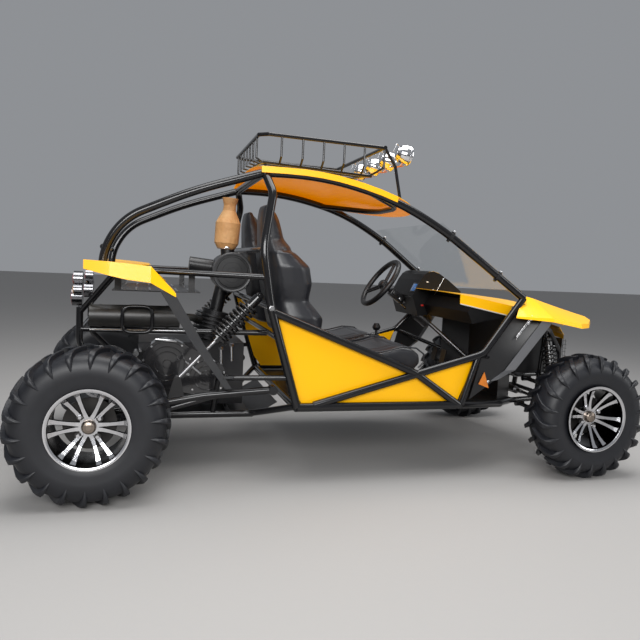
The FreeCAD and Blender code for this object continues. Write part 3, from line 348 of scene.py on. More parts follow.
clear_links.new(haze.outputs["Shader"], clear_nodes["Material Output"].inputs["Surface"])
dress(clear, "windshield")

PILLAR_TOP, PILLAR_FOOT = Vector((0.450, 0.460, 1.172)), Vector((0.863, 0.505, 0.872))
PILLAR_R = 0.019
BAND_R = PILLAR_R + 0.0035
BAND_HALF = 0.008
CLAMP_SHARES = (0.04, 0.65)
clamp_screws, clamp_bands = bmesh.new(), bmesh.new()
band = spun(
    [(PILLAR_R, -BAND_HALF), (BAND_R, -BAND_HALF), (BAND_R, BAND_HALF), (PILLAR_R, BAND_HALF)], 32, True
)
for share in CLAMP_SHARES:
    for hand in (-1, 1):
        flip = Vector((1, hand, 1))
        centre = PILLAR_TOP.lerp(PILLAR_FOOT, share) * flip
        along = (PILLAR_FOOT - PILLAR_TOP) * flip
        lift = Vector((0, 1, 0)).cross(along).normalized()
        lift = lift if lift.z > 0 else -lift
        add(clamp_bands, band, toward(centre, along))
        bar(clamp_bands, centre - lift * 0.018, centre - lift * 0.030, 0.008, sides=6)
        add(clamp_screws, hex_head, toward(centre + lift * (PILLAR_R + 0.003), lift))
black_plastic = finish("black_plastic", (0.006, 0.006, 0.007), 0.34, dust=0.03, scale=1200.0, depth=0.0001)
piece("screen_clamps", clamp_bands, "chassis", black_plastic)
piece("screen_screws", clamp_screws, "chassis", bright_steel)


# ---------------------------------------------------------------- yellow panels
# Moulded sheets in a thick yellow gloss coat with a faint orange peel, and dark ones in a satin
# grain. The roof's downward faces glow orange as painted shade, and pan-head screws hold the side skirts.
YELLOW = (1.0, 0.50, 0.0)
yellow = finish("yellow_coat", YELLOW, 0.32, coat=0.22, specular=0.25, dust=0.02, scale=260.0, depth=0.00012)
dress(yellow, "hood", "front_fenders", "rear_fenders", "side_panels", "nose_panel")
dark_panel = finish(
    "dark_panel", (0.007, 0.007, 0.008), 0.36, dust=0.03, scale=300.0, depth=0.0003, cells=0.5
)
dress(dark_panel, "rack_plate", "skirts", "floor_pan", "skid_pan", "nose_sides", "foot_box")


def painted_underside_glow(material, colour, strength):
    """Painted glow: orange emission on the faces that look down, standing in for a thin coloured sheet's
    shaded underside.
    """
    nodes, links = material.node_tree.nodes, material.node_tree.links
    facing = nodes.new("ShaderNodeNewGeometry")
    split = nodes.new("ShaderNodeSeparateXYZ")
    links.new(facing.outputs["Normal"], split.inputs["Vector"])
    below = nodes.new("ShaderNodeMapRange")
    below.inputs["From Min"].default_value = -0.3
    below.inputs["From Max"].default_value = -0.7
    below.inputs["To Max"].default_value = strength
    links.new(split.outputs["Z"], below.inputs["Value"])
    surface = nodes["Principled BSDF"]
    surface.inputs["Emission Color"].default_value = (*colour, 1)
    links.new(below.outputs["Result"], surface.inputs["Emission Strength"])


# Painted shade: the roof's underside glows orange through emission, in place of the yellow sheet in shade.
roof_yellow = finish("roof_yellow", YELLOW, 0.32, coat=0.22, dust=0.02, scale=260.0, depth=0.00012)
painted_underside_glow(roof_yellow, (0.85, 0.22, 0.0), 0.55)
dress(roof_yellow, "roof_shell")

pan_head = spun([(0, 0.003), (0.004, 0.0027), (0.0065, 0.0012), (0.007, 0), (0, 0)], 16)
SKIRT_SCREWS = ((0.855, 0.597, 0.776), (0.842, 0.597, 0.757), (0.792, 0.597, 0.700), (0.640, 0.597, 0.470))
panel_screws = bmesh.new()
add(panel_screws, pan_head, *facing_out(SKIRT_SCREWS))
piece("panel_screws", panel_screws, "chassis", bright_steel)


# ---------------------------------------------------------------- struts and springs
# Folded sheet struts, hammered charcoal behind and silver in front, and coil-over dampers: black
# bodies under round black wire, on steel rods.
HAMMERED = {"scale": 420.0, "depth": 0.0004}
grey_sheet = finish(
    "grey_sheet", (0.030, 0.032, 0.036), 0.26, metallic=0.3, coat=0.6, dust=0.10, cells=0.6, **HAMMERED
)
dress(grey_sheet, "rear_fender_struts")
silver_sheet = finish(
    "silver_sheet", (0.22, 0.225, 0.24), 0.30, metallic=0.7, coat=0.3, dust=0.08, **HAMMERED
)
dress(silver_sheet, "front_struts")
steel = finish("steel", (0.32, 0.32, 0.33), 0.32, metallic=1.0, dust=0.12, scale=600.0, depth=0.0002)
dress(steel, "drive_shafts", "steering_rack", "steering_box", "knuckle_left", "knuckle_right")
WIRE = 0.0065                 # spring wire, radius
ROD_R = 0.009
SPRING_SEAT = 0.006           # thickness of a spring's seat
EYE_HALF, EYE_R = 0.013, 0.015
EYE_BOLT_HALF, EYE_BOLT_R = 0.019, 0.0085


def wound(radius, length, turns, wire=WIRE):
    """Round wire wound about the Y axis from the origin up to a length."""
    shell = bmesh.new()
    section = bmesh.ops.create_circle(shell, segments=10, radius=wire)["verts"]
    bmesh.ops.translate(shell, vec=(radius, 0, 0), verts=section)
    rim = list({edge for vert in section for edge in vert.link_edges})
    steps = 22 * turns
    bmesh.ops.spin(
        shell, geom=section + rim, cent=(0, 0, 0), axis=(0, 1, 0), angle=math.tau * turns, steps=steps,
        dvec=(0, length / steps, 0),
    )
    bmesh.ops.holes_fill(shell, edges=[edge for edge in shell.edges if edge.is_boundary])
    bmesh.ops.recalc_face_normals(shell, faces=shell.faces)
    return shell


def coil_over(name, node, low, high, spring_r, spring_top, spring_length, turns, body_r=0.022):
    """Both sides' dampers: body with its eyes and spring seats, rod, and the wound spring."""
    low, high = Vector(low), Vector(high)
    bodies, springs, rods = bmesh.new(), bmesh.new(), bmesh.new()
    for hand in (-1, 1):
        flip = Vector((1, hand, 1))
        foot, head = low * flip, high * flip
        along = (foot - head).normalized()
        first = head + along * spring_top
        last = first + along * spring_length
        bar(bodies, head + along * 0.010, last + along * 0.024, body_r, sides=28)
        bar(rods, last, foot - along * 0.010, ROD_R)
        for seat in (first - along * SPRING_SEAT, last):
            bar(bodies, seat, seat + along * SPRING_SEAT, spring_r + 0.003, sides=36)
        pin = Vector((1, 0, 0)) if abs(along.x) < 0.5 else Vector((0, 1, 0))
        for place in (foot, head):
            bar(bodies, place - pin * EYE_HALF, place + pin * EYE_HALF, EYE_R, sides=24)
            bar(bodies, place - pin * EYE_BOLT_HALF, place + pin * EYE_BOLT_HALF, EYE_BOLT_R, sides=6)
        add(springs, wound(spring_r - WIRE, spring_length, turns), toward(first, along))
    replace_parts(piece(name + "_dampers", bodies, "chassis", spring_black), node)
    piece(name + "_damper_rods", rods, "chassis", steel)
    piece(name + "_springs", springs, "chassis", spring_black, crease=60)


spring_black = finish("spring_black", (0.006, 0.006, 0.007), 0.2, coat=0.4, dust=0.05)
FRONT_X, REAR_X = 1.17425, -1.16175     # axles
NOSE_Z = 0.300                          # lowest tubes of the nose frame
coil_over(
    "front",
    "front_shocks",
    low=(FRONT_X - 0.010, 0.405, NOSE_Z - 0.038),
    high=(FRONT_X - 0.008, 0.300, NOSE_Z + 0.340),
    spring_r=0.038,
    spring_top=0.040,
    spring_length=0.222,
    turns=10,
)
coil_over(
    "rear",
    "rear_shocks",
    low=(REAR_X + 0.347, 0.455, 0.4635),
    high=(-0.460, 0.455, 0.842),
    spring_r=0.045,
    spring_top=0.070,
    spring_length=0.190,
    turns=9,
)


# ---------------------------------------------------------------- body trims
# Light rubber trim along the cowl's edge, two bright wires down each skirt as a painted highlight, and a
# small gusset in the side frame's corner, yellow panel coloured dark orange as painted shade.
# Painted shade: the gussets are yellow panel coloured dark orange for the shade they sit in; the lamp
# brackets share this orange coat.
orange_and_shaded_yellow = finish("orange_and_shaded_yellow", (0.60, 0.17, 0.01), 0.30, coat=0.4, dust=0.05, scale=300.0, depth=0.0001)
trim_pale = finish("trim_pale", (0.55, 0.53, 0.48), 0.40, dust=0.10, scale=900.0, depth=0.0001)
COWL_Y, SKIRT_Y, GUSSET_Y = 0.4235, 0.5975, 0.552
GUSSET_THICK = 0.004
GUSSET = ((0.614, 0.450), (0.642, 0.509), (0.670, 0.430))
cowl_trim, skirt_highlight_wire, gussets = bmesh.new(), bmesh.new(), bmesh.new()
for hand in (-1, 1):
    cowl_y, skirt_y = hand * COWL_Y, hand * SKIRT_Y
    bar(cowl_trim, (0.560, cowl_y, 0.8305), (0.850, cowl_y, 0.7745), 0.003, sides=10)
    # Painted highlight: two bright wires down each skirt stand in for the light streak along its glossy face.
    for rise in (0, 0.010):
        bar(skirt_highlight_wire, (0.858, skirt_y, 0.784 + rise), (0.776, skirt_y, 0.679 + rise), 0.0016, sides=8)
    corner = [gussets.verts.new((x, hand * GUSSET_Y, z)) for x, z in GUSSET]
    raised = bmesh.ops.extrude_face_region(gussets, geom=[gussets.faces.new(corner)])
    moved = [item for item in raised["geom"] if isinstance(item, bmesh.types.BMVert)]
    bmesh.ops.translate(gussets, vec=(0, hand * GUSSET_THICK, 0), verts=moved)
bmesh.ops.recalc_face_normals(gussets, faces=gussets.faces)
piece("cowl_trim", cowl_trim, "chassis", trim_pale)
piece("skirt_highlight_wire", skirt_highlight_wire, "chassis", bright_steel)
piece("gussets", gussets, "chassis", orange_and_shaded_yellow)


# ---------------------------------------------------------------- tyres
# Low-pressure knobby tyres on 12 inch rims: a smooth rounded carcass, and slanted bars that
# start beside the crown, run over the shoulder and end as stepped blocks on the side wall.
# Blue-grey dust on the tyres' upward faces, partly a painted sky sheen on the rubber.
BLUE_DUST_AND_SHEEN = (0.20, 0.23, 0.30)
rubber = finish(
    "rubber", (0.006, 0.0065, 0.009), 0.45, dust=0.04, dust_colour=BLUE_DUST_AND_SHEEN, scale=220.0, depth=0.0005
)
TREAD_DEPTH = 0.017
LUG_PITCHES = 22


def carcass_profile(radius, half, bead_half):
    """Half section from the bead over the side wall to the crown, then mirrored."""
    base = radius - TREAD_DEPTH
    side = [
        (0.1535, bead_half),
        (0.1640, bead_half + 0.001),
        (0.1720, bead_half + 0.006),
        (0.1850, half - 0.010),
        (0.2120, half - 0.002),
        (0.2450, half - 0.003),
        (base - 0.030, half - 0.012),
        (base - 0.014, half - 0.026),
        (base - 0.004, half - 0.048),
        (base, half * 0.30),
    ]
    return side + [(r, -y) for r, y in reversed(side)]


def tread_bar(radius, half):
    """One bar of the tread on the +Y half: a curved strip of quads, thickened outwards."""
    stations = (
        # y as a share of the half width, radius below the tip, lead angle and half width in pitches
        (0.02, 0.000, -0.42, 0.13),
        (0.30, 0.000, -0.20, 0.12),
        (0.62, 0.003, 0.04, 0.13),
        (0.84, 0.012, 0.16, 0.14),
        (0.965, 0.030, 0.21, 0.12),
        (1.0, 0.056, 0.22, 0.045),
    )
    pitch = math.tau / LUG_PITCHES
    strip = bmesh.new()
    rows = []
    for share, drop, lead, width in stations:
        row = []
        for edge in (-width, width):
            turn = (lead + edge) * pitch
            r = radius - drop
            row.append(strip.verts.new((r * math.cos(turn), share * half, r * math.sin(turn))))
        rows.append(row)
    for here, there in zip(rows, rows[1:]):
        strip.faces.new((here[0], here[1], there[1], there[0]))
    sunk = bmesh.ops.extrude_face_region(strip, geom=strip.faces[:])
    centre = Vector((0, half * 0.45, 0))
    for vert in [v for v in sunk["geom"] if isinstance(v, bmesh.types.BMVert)]:
        inward = centre - vert.co
        inward.y *= 0.8
        vert.co += inward.normalized() * (TREAD_DEPTH + 0.010)
    bmesh.ops.recalc_face_normals(strip, faces=strip.faces)
    sharp = [e for e in strip.edges if e.calc_face_angle(0) > 0.6]
    bmesh.ops.bevel(strip, geom=sharp, offset=0.0022, segments=1, profile=0.5, affect="EDGES", material=-1)
    return strip


def tyre(node, body, phase):
    """One tyre: the carcass, and lugs on both halves that stand half a pitch apart."""
    low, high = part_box(node)
    centre = (low + high) / 2
    radius = (high.z - low.z) / 2 + 0.0008
    half = (high.y - low.y) / 2
    shell = spun(carcass_profile(radius, half - 0.004, half - 0.020), 96, True)
    lug = tread_bar(radius, half - 0.0012)
    lug_mesh = bpy.data.meshes.new("lug")
    lug.to_mesh(lug_mesh)
    lug.free()
    for k in range(2 * LUG_PITCHES):
        before = len(shell.verts)
        shell.from_mesh(lug_mesh)
        shell.verts.ensure_lookup_table()
        fresh = shell.verts[before:]
        if k % 2:
            bmesh.ops.scale(shell, vec=(1, -1, 1), verts=fresh)
            bmesh.ops.reverse_faces(shell, faces=list({f for v in fresh for f in v.link_faces}))
        turn = Matrix.Rotation((k / 2 + phase) * math.tau / LUG_PITCHES, 3, "Y")
        bmesh.ops.rotate(shell, cent=(0, 0, 0), matrix=turn, verts=fresh)
    bpy.data.meshes.remove(lug_mesh)
    bmesh.ops.translate(shell, vec=centre, verts=shell.verts)
    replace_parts(piece(node + "_tread", shell, body, rubber), node)


for end in ("front", "rear"):
    for side, phase in (("left", 0.0), ("right", 0.3)):
        tyre(f"tyre_{end}_{side}", f"wheel_{end}_{side}", phase)


# ---------------------------------------------------------------- rims
# Cast 12 inch rims with six split spokes: faces machined bright, everything else painted black.
# Four nuts in dark recesses and a bare brownish cap stand on the hub, before a dark brake disc.


def two_tone(material, dark):
    """Keeps the bright colour on faces square to the axle and paints the others dark."""
    nodes, links = material.node_tree.nodes, material.node_tree.links
    facing = nodes.new("ShaderNodeNewGeometry")
    split = nodes.new("ShaderNodeSeparateXYZ")
    links.new(facing.outputs["Normal"], split.inputs["Vector"])
    size = nodes.new("ShaderNodeMath")
    size.operation = "ABSOLUTE"
    links.new(split.outputs["Y"], size.inputs[0])
    turned = nodes.new("ShaderNodeMapRange")
    turned.inputs["From Min"].default_value = 0.62
    turned.inputs["From Max"].default_value = 0.72
    links.new(size.outputs["Value"], turned.inputs["Value"])
    shade = nodes.new("ShaderNodeMix")
    shade.data_type = "RGBA"
    shade.inputs["A"].default_value = (*dark, 1)
    shade.inputs["B"].default_value = nodes["dusting"].inputs["Colour"].default_value
    links.new(turned.outputs["Result"], shade.inputs["Factor"])
    links.new(shade.outputs["Result"], nodes["dusting"].inputs["Colour"])


machined = finish(
    "machined_alloy", (0.66, 0.66, 0.68), 0.20, metallic=1.0, dust=0.04, scale=900.0, depth=0.0001
)
two_tone(machined, (0.004, 0.004, 0.005))
cap_metal = finish("cap_metal", (0.30, 0.25, 0.21), 0.30, metallic=1.0, dust=0.10, scale=500.0, depth=0.0002)
bare_metal = finish(
    "bare_alloy", (0.62, 0.62, 0.64), 0.22, metallic=1.0, dust=0.04, scale=900.0, depth=0.0001
)
disc_metal = finish(
    "disc_metal", (0.050, 0.048, 0.047), 0.40, metallic=0.8, dust=0.15, scale=500.0, depth=0.0003
)
SPOKES = 6
HUB_FACE = 0.058
SPOKE_STATIONS = (
    # radius, depth below the lip, offset from the spoke's middle, half width, thickness
    (0.030, 0.0580, 0.0090, 0.0105, 0.014),
    (0.050, 0.0560, 0.0100, 0.0098, 0.014),
    (0.078, 0.0490, 0.0140, 0.0088, 0.015),
    (0.108, 0.0385, 0.0195, 0.0092, 0.016),
    (0.132, 0.0265, 0.0250, 0.0110, 0.018),
    (0.1495, 0.0110, 0.0285, 0.0150, 0.022),
)
EDGE = 0.0022


def spoke_arm(hand):
    """One arm of a split spoke: a bright face with bevelled edges, leaning out to the lip."""
    sections = []
    for r, y, offset, half, thick in SPOKE_STATIONS:
        middle = hand * offset
        sections.append(
            [
                (r, y, middle - half + EDGE),
                (r, y, middle + half - EDGE),
                (r, y + EDGE * 1.6, middle + half),
                (r, y + thick, middle + half * 0.8),
                (r, y + thick, middle - half * 0.8),
                (r, y + EDGE * 1.6, middle - half),
            ]
        )
    return swept(sections)


def barrel_profile(width):
    """Closed section of the barrel, from the outer lip over both bead seats to the inner edge."""
    return [
        (0.1470, 0.012), (0.1490, 0.003), (0.1540, 0.000), (0.1585, -0.0012), (0.1622, -0.0010),
        (0.1637, 0.0015), (0.1635, 0.0080), (0.1545, 0.0095), (0.1520, 0.0140), (0.1500, width * 0.5),
        (0.1520, width - 0.014), (0.1545, width - 0.0095), (0.1635, width - 0.008), (0.1635, width),
        (0.1480, width), (0.1455, width * 0.5),
    ]


nut = spun([(0, -0.010), (0.0070, -0.010), (0.0082, -0.0088), (0.0082, 0), (0, 0)], 6)
nut_recess = spun([(0, -0.0006), (0.0135, -0.0006), (0.0145, 0.004), (0, 0.004)], 28)
CAP_PROFILE = (
    (0, -0.019), (0.011, -0.019), (0.013, -0.0175), (0.0205, -0.017), (0.0225, -0.0160), (0.0285, -0.008),
    (0.0290, 0.002), (0, 0.002),
)
cap = spun(CAP_PROFILE, 40)
HUB_PROFILE = (
    (0, 0), (0.0385, 0), (0.0405, 0.002), (0.0405, 0.014), (0.030, 0.016), (0.030, 0.060), (0, 0.060),
)
hub_plate = spun(HUB_PROFILE, 48)
DISC_PROFILE = (
    (0.034, 0.060), (0.104, 0.060), (0.105, 0.061), (0.105, 0.064), (0.104, 0.065), (0.034, 0.065),
)
brake_disc = spun(DISC_PROFILE, 64, True)
NUTS, NUT_CIRCLE, NUT_START = 4, 0.052, 48


def rim(node, body, phase):
    """One rim with its trim; the first spoke points forward, turned by the phase."""
    low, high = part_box(node)
    centre = (low + high) / 2
    hand = math.copysign(1, centre.y)
    outer = high.y if hand > 0 else low.y
    side = Matrix.Translation((centre.x, outer, centre.z)) @ Matrix.Diagonal((1, -hand, 1, 1))
    side = side @ Matrix.Rotation(math.radians(phase), 4, "Y")
    hub = side @ Matrix.Translation((0, HUB_FACE, 0))
    cast, bright, capped, braked = bmesh.new(), bmesh.new(), bmesh.new(), bmesh.new()
    add(cast, spun(barrel_profile(high.y - low.y), 96, True), side)
    add(cast, hub_plate, hub)
    arms = [spoke_arm(-1), spoke_arm(1)]
    for k in range(SPOKES):
        turn = Matrix.Rotation(math.tau * k / SPOKES, 4, "Y")
        for arm in arms:
            add(cast, arm, side @ turn)
    for k in range(NUTS):
        turn = Matrix.Rotation(math.radians(NUT_START + 360 / NUTS * k), 4, "Y")
        seat = hub @ turn @ Matrix.Translation((NUT_CIRCLE, -0.001, 0))
        add(bright, nut, seat)
        add(braked, nut_recess, seat)
    add(capped, cap, hub)
    add(braked, brake_disc, hub)
    for shell in (cast, bright, capped, braked):
        bmesh.ops.recalc_face_normals(shell, faces=shell.faces)
    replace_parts(piece(node + "_cast", cast, body, machined), node)
    piece(node + "_nuts", bright, body, bare_metal)
    piece(node + "_cap", capped, body, cap_metal)
    piece(node + "_disc", braked, body, disc_metal)


for end in ("front", "rear"):
    for side, phase in (("left", 20), ("right", 2 if end == "rear" else 14)):
        rim(f"rim_{end}_{side}", f"wheel_{end}_{side}", phase)


# ---------------------------------------------------------------- seats
# Two bucket seats in satin vinyl, black with a blue tint. Each back is a stuffed shell with a waist
# and shoulder wings; each cushion dips behind a rolled front, with piping along its side seams.
VOXEL = 0.010
SEAT_MIDDLE = 0.262


def settle(mesh, rest, limit):
    """Keeps every point within a limit of where it started."""
    for vert, start in zip(mesh.vertices, rest):
        moved = vert.co - start
        if moved.length > limit:
            vert.co = start + moved * (limit / moved.length)


def stuffed(shell, limit):
    """Closed form remeshed evenly and blown up from inside, as upholstery over its foam."""
    bmesh.ops.recalc_face_normals(shell, faces=shell.faces)
    start = bpy.data.meshes.new("stuffing")
    shell.to_mesh(start)
    shell.free()
    form = bpy.data.objects.new("stuffing", start)
    bpy.context.scene.collection.objects.link(form)
    even = form.modifiers.new("even", "REMESH")
    even.mode = "VOXEL"
    even.voxel_size = VOXEL
    seen = bpy.context.evaluated_depsgraph_get()
    mesh = bpy.data.meshes.new_from_object(form.evaluated_get(seen))
    form.modifiers.clear()
    form.data = mesh
    rest = [vert.co.copy() for vert in mesh.vertices]
    cloth = form.modifiers.new("pressure", "CLOTH")
    cloth.settings.use_pressure = True
    cloth.settings.uniform_pressure_force = 4.0
    cloth.settings.effector_weights.gravity = 0.0
    for moment in range(1, 21):
        bpy.context.scene.frame_set(moment)
    seen = bpy.context.evaluated_depsgraph_get()
    mesh = bpy.data.meshes.new_from_object(form.evaluated_get(seen))
    settle(mesh, rest, limit)
    bpy.context.scene.frame_set(1)
    bpy.data.objects.remove(form)
    return mesh


def sew(mesh, seams, depth, width):
    """Draws a mesh in along seams, each a function of distance from the point to the seam."""
    normals = [vert.normal.copy() for vert in mesh.vertices]
    for vert, normal in zip(mesh.vertices, normals):
        near = min(seam(vert.co) for seam in seams)
        if near < width:
            vert.co -= normal * depth * (0.5 + 0.5 * math.cos(math.pi * near / width))


def seat_pad(name, node, mesh, material):
    """Padded piece for both seats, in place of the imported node."""
    shell = bmesh.new()
    for hand in (-1, 1):
        copy = mesh.copy()
        copy.transform(Matrix.Translation((0, hand * SEAT_MIDDLE, 0)))
        shell.from_mesh(copy)
        bpy.data.meshes.remove(copy)
    pair = piece(name, shell, "chassis", material, crease=180)
    finer = pair.modifiers.new("finer", "SUBSURF")
    finer.levels = finer.render_levels = 1
    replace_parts(pair, node)


def level_loft(stations, corners=24, squareness=0.55):
    """Closed form through level rounded outlines of (z, back x, front x, half width)."""
    sections = []
    for z, back, front, half in stations:
        outline = []
        for k in range(corners):
            c, s = math.cos(math.tau * k / corners), math.sin(math.tau * k / corners)
            x = (back + front) / 2 + math.copysign(abs(c) ** squareness, c) * (front - back) / 2
            outline.append((x, math.copysign(abs(s) ** squareness, s) * half, z))
        sections.append(outline)
    return swept(sections)


SWELL = 0.010                 # most that the stuffing moves a skin
SEAM_DEPTH, SEAM_WIDTH = 0.006, 0.014
vinyl = finish(
    "seat_vinyl", (0.013, 0.014, 0.018), 0.36, coat=0.08, dust=0.04, scale=1500.0, depth=0.0002, cells=0.8
)
BACK_STATIONS = (
    # z, back x, front x, half width
    (0.664, -0.355, -0.128, 0.192),
    (0.740, -0.372, -0.146, 0.204),
    (0.820, -0.390, -0.215, 0.188),
    (0.900, -0.406, -0.206, 0.210),
    (0.978, -0.420, -0.224, 0.222),
    (1.044, -0.428, -0.296, 0.202),
    (1.108, -0.432, -0.342, 0.140),
    (1.200, -0.436, -0.368, 0.114),
    (1.272, -0.430, -0.398, 0.084),
)
back_mesh = stuffed(level_loft(BACK_STATIONS), SWELL)
back_seams = [
    lambda p: abs(abs(p.y) - 0.105) if p.x > -0.34 and p.z < 1.05 else 1,
    lambda p: abs(p.z - 0.835) if p.x > -0.34 and abs(p.y) < 0.105 else 1,
    lambda p: abs(p.z - 1.055) if p.x > -0.36 else 1,
]
sew(back_mesh, back_seams, SEAM_DEPTH, SEAM_WIDTH)
seat_pad("seat_back_pads", "seat_backs", back_mesh, vinyl)

CUSHION_SIDE = (
    (-0.122, 0.506), (0.318, 0.506), (0.346, 0.540), (0.342, 0.582), (0.305, 0.608),
    (0.235, 0.612), (0.150, 0.590), (0.040, 0.576), (-0.060, 0.582), (-0.122, 0.606),
)
CUSHION_HALF = 0.214
cushion_form = swept([[(x, y, z) for x, z in CUSHION_SIDE] for y in (-CUSHION_HALF, CUSHION_HALF)])
cushion_edges = cushion_form.edges[:]
bmesh.ops.bevel(
    cushion_form, geom=cushion_edges, offset=0.014, segments=2, profile=0.6, affect="EDGES", material=-1
)
cushion_mesh = stuffed(cushion_form, SWELL)
cushion_seams = [
    lambda p: abs(abs(p.y) - 0.130) if p.z > 0.56 else 1,
    lambda p: abs(p.x - 0.225) if p.z > 0.56 and abs(p.y) < 0.130 else 1,
    lambda p: abs(p.x - 0.060) if p.z > 0.56 and abs(p.y) < 0.130 else 1,
]
sew(cushion_mesh, cushion_seams, SEAM_DEPTH, SEAM_WIDTH)
seat_pad("seat_cushion_pads", "seat_cushions", cushion_mesh, vinyl)
dress(dark_panel, "seat_frames")

PIPE_R = 0.0042
PIPE_SIDE = (
    (0.325, 0.518), (0.353, 0.545), (0.349, 0.586), (0.309, 0.614),
    (0.235, 0.619), (0.150, 0.597), (0.040, 0.583), (-0.060, 0.589),
)
piping = bmesh.new()
for middle in (-SEAT_MIDDLE, SEAT_MIDDLE):
    for hand in (-1, 1):
        y = middle + hand * (CUSHION_HALF + 0.003)
        for (x0, z0), (x1, z1) in zip(PIPE_SIDE, PIPE_SIDE[1:]):
            bar(piping, (x0, y, z0), (x1, y, z1), PIPE_R, sides=12)
        for x, z in PIPE_SIDE[1:-1]:
            turn = Matrix.Translation((x, y, z))
            bmesh.ops.create_uvsphere(piping, u_segments=12, v_segments=8, radius=PIPE_R, matrix=turn)
piece("seat_piping", piping, "chassis", vinyl)


# ---------------------------------------------------------------- steering wheel
# A thick round rubber grip on three slotted spokes, tilted on the column; it turns with the shaft.
# The column's plastic shroud stays with the dash, with a bright connector on its side.
WHEEL_CENTRE = Vector((0.402, 0.290, 0.902))
COLUMN = Vector((0.815, 0, -0.579)).normalized()
COLUMN_LENGTH = 0.300
GRIP_R, GRIP_THICK = 0.155, 0.0155
SPOKE_R = 0.0064
SPOKE_ANGLES = (-90, 30, 150)
soft_grip = finish("soft_grip", (0.005, 0.005, 0.006), 0.42, dust=0.02, scale=1400.0, depth=0.0003, cells=1.0)
hand_wheel = bmesh.new()
seat = toward(WHEEL_CENTRE, COLUMN)
add(hand_wheel, spun(round_section(GRIP_R, GRIP_THICK, 20), 72, True), seat)
BOSS_PROFILE = ((0, -0.004), (0.018, -0.004), (0.028, 0.004), (0.030, 0.012), (0.030, 0.042), (0, 0.042))
add(hand_wheel, spun(BOSS_PROFILE, 40), seat)
spoke = bmesh.new()
for offset in (-0.0085, 0.0085):
    bar(spoke, (0.026, 0.020, offset * 1.3), (GRIP_R - 0.006, 0.002, offset), SPOKE_R, sides=12)
for angle in SPOKE_ANGLES:
    add(hand_wheel, spoke, seat @ Matrix.Rotation(math.radians(angle), 4, "Y"))
bar(hand_wheel, WHEEL_CENTRE + COLUMN * 0.03, WHEEL_CENTRE + COLUMN * (COLUMN_LENGTH - 0.0005), 0.011)
for offset in (-0.012, 0.012):
    bar(hand_wheel, seat @ Vector((0.020, 0.018, offset)), seat @ Vector((-0.020, 0.018, offset)), 0.010)
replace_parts(piece("hand_wheel", hand_wheel, "hand_wheel", soft_grip), "steering_wheel")

column_turn = COLUMN.to_track_quat("X", "Z").to_matrix().to_4x4()
shroud = bmesh.new()
block(shroud, WHEEL_CENTRE + COLUMN * 0.128, (0.100, 0.052, 0.050), 0.010, column_turn)
stalk = WHEEL_CENTRE + COLUMN * 0.105 + Vector((0, -0.034, 0))
block(shroud, stalk, (0.040, 0.020, 0.026), 0.005, column_turn)
piece("column_shroud", shroud, "chassis", black_plastic)
connector = bmesh.new()
socket = WHEEL_CENTRE + COLUMN * 0.150 + Vector((0, -0.029, -0.006))
block(connector, socket, (0.018, 0.006, 0.012), 0.001, column_turn)
piece("column_connector", connector, "chassis", bright_steel)


# ---------------------------------------------------------------- dashboard
# Black moulded pod and switch panel with a small blue display, white legends on the pod's near
# side, a red rocker switch, and a bright trim line down the pod's near edge.
dash_black = finish(
    "dash_black", (0.004, 0.004, 0.0045), 0.46, specular=0.25, dust=0.02, scale=900.0, depth=0.0002, cells=0.5
)
dress(dash_black, "dashboard")
display = finish("display_blue", (0.05, 0.16, 0.42), 0.10, coat=0.8, dust=0.0, scale=60.0, depth=0.00005)
legend = finish("legend_white", (0.75, 0.75, 0.74), 0.45, dust=0.05, scale=900.0, depth=0.0001)
switch_red = finish("switch_red", (0.55, 0.02, 0.015), 0.30, coat=0.3, dust=0.02, scale=900.0, depth=0.0001)
POD_SIDE = 0.1176
POD_LOW, POD_HIGH = (0.538, 0.838), (0.584, 0.932)      # ends of the pod's sloping face
slope = Vector((POD_HIGH[0] - POD_LOW[0], 0, POD_HIGH[1] - POD_LOW[1])).normalized()
face_out = Vector((-slope.z, 0, slope.x))
face_turn = Matrix.Rotation(math.atan2(slope.x, slope.z), 4, "Y")
screen, bezel, marks, rocker = bmesh.new(), bmesh.new(), bmesh.new(), bmesh.new()
middle = Vector((0.561, 0.152, 0.886)) + face_out * 0.001
block(bezel, middle, (0.004, 0.066, 0.062), 0.0015, face_turn)
block(screen, middle + face_out * 0.002, (0.002, 0.052, 0.046), 0.0008, face_turn)
LEGENDS = (
    # x, z, width, height
    (0.627, 0.922, 0.012, 0.006),
    (0.665, 0.877, 0.007, 0.007),
    (0.648, 0.873, 0.006, 0.006),
    (0.639, 0.784, 0.010, 0.006),
    (0.713, 0.837, 0.006, 0.006),
)
for x, z, width, height in LEGENDS:
    block(marks, (x, POD_SIDE - 0.0005, z), (width, 0.0012, height), 0.0004)
block(rocker, (0.601, POD_SIDE - 0.002, 0.785), (0.016, 0.006, 0.010), 0.001)
piece("display_bezels", bezel, "chassis", black_plastic)
piece("displays", screen, "chassis", display)
piece("dash_legends", marks, "chassis", legend)
piece("dash_switch", rocker, "chassis", switch_red)
TRIM_LINES = (
    # x and z of each end
    (0.732, 0.950, 0.662, 0.825),
    (0.632, 0.981, 0.660, 0.986),
    (0.660, 0.986, 0.700, 0.974),
)
pod_trim = bmesh.new()
for x0, z0, x1, z1 in TRIM_LINES:
    bar(pod_trim, (x0, POD_SIDE - 0.001, z0), (x1, POD_SIDE - 0.001, z1), 0.0014, sides=8)
piece("pod_trim", pod_trim, "chassis", bright_steel)


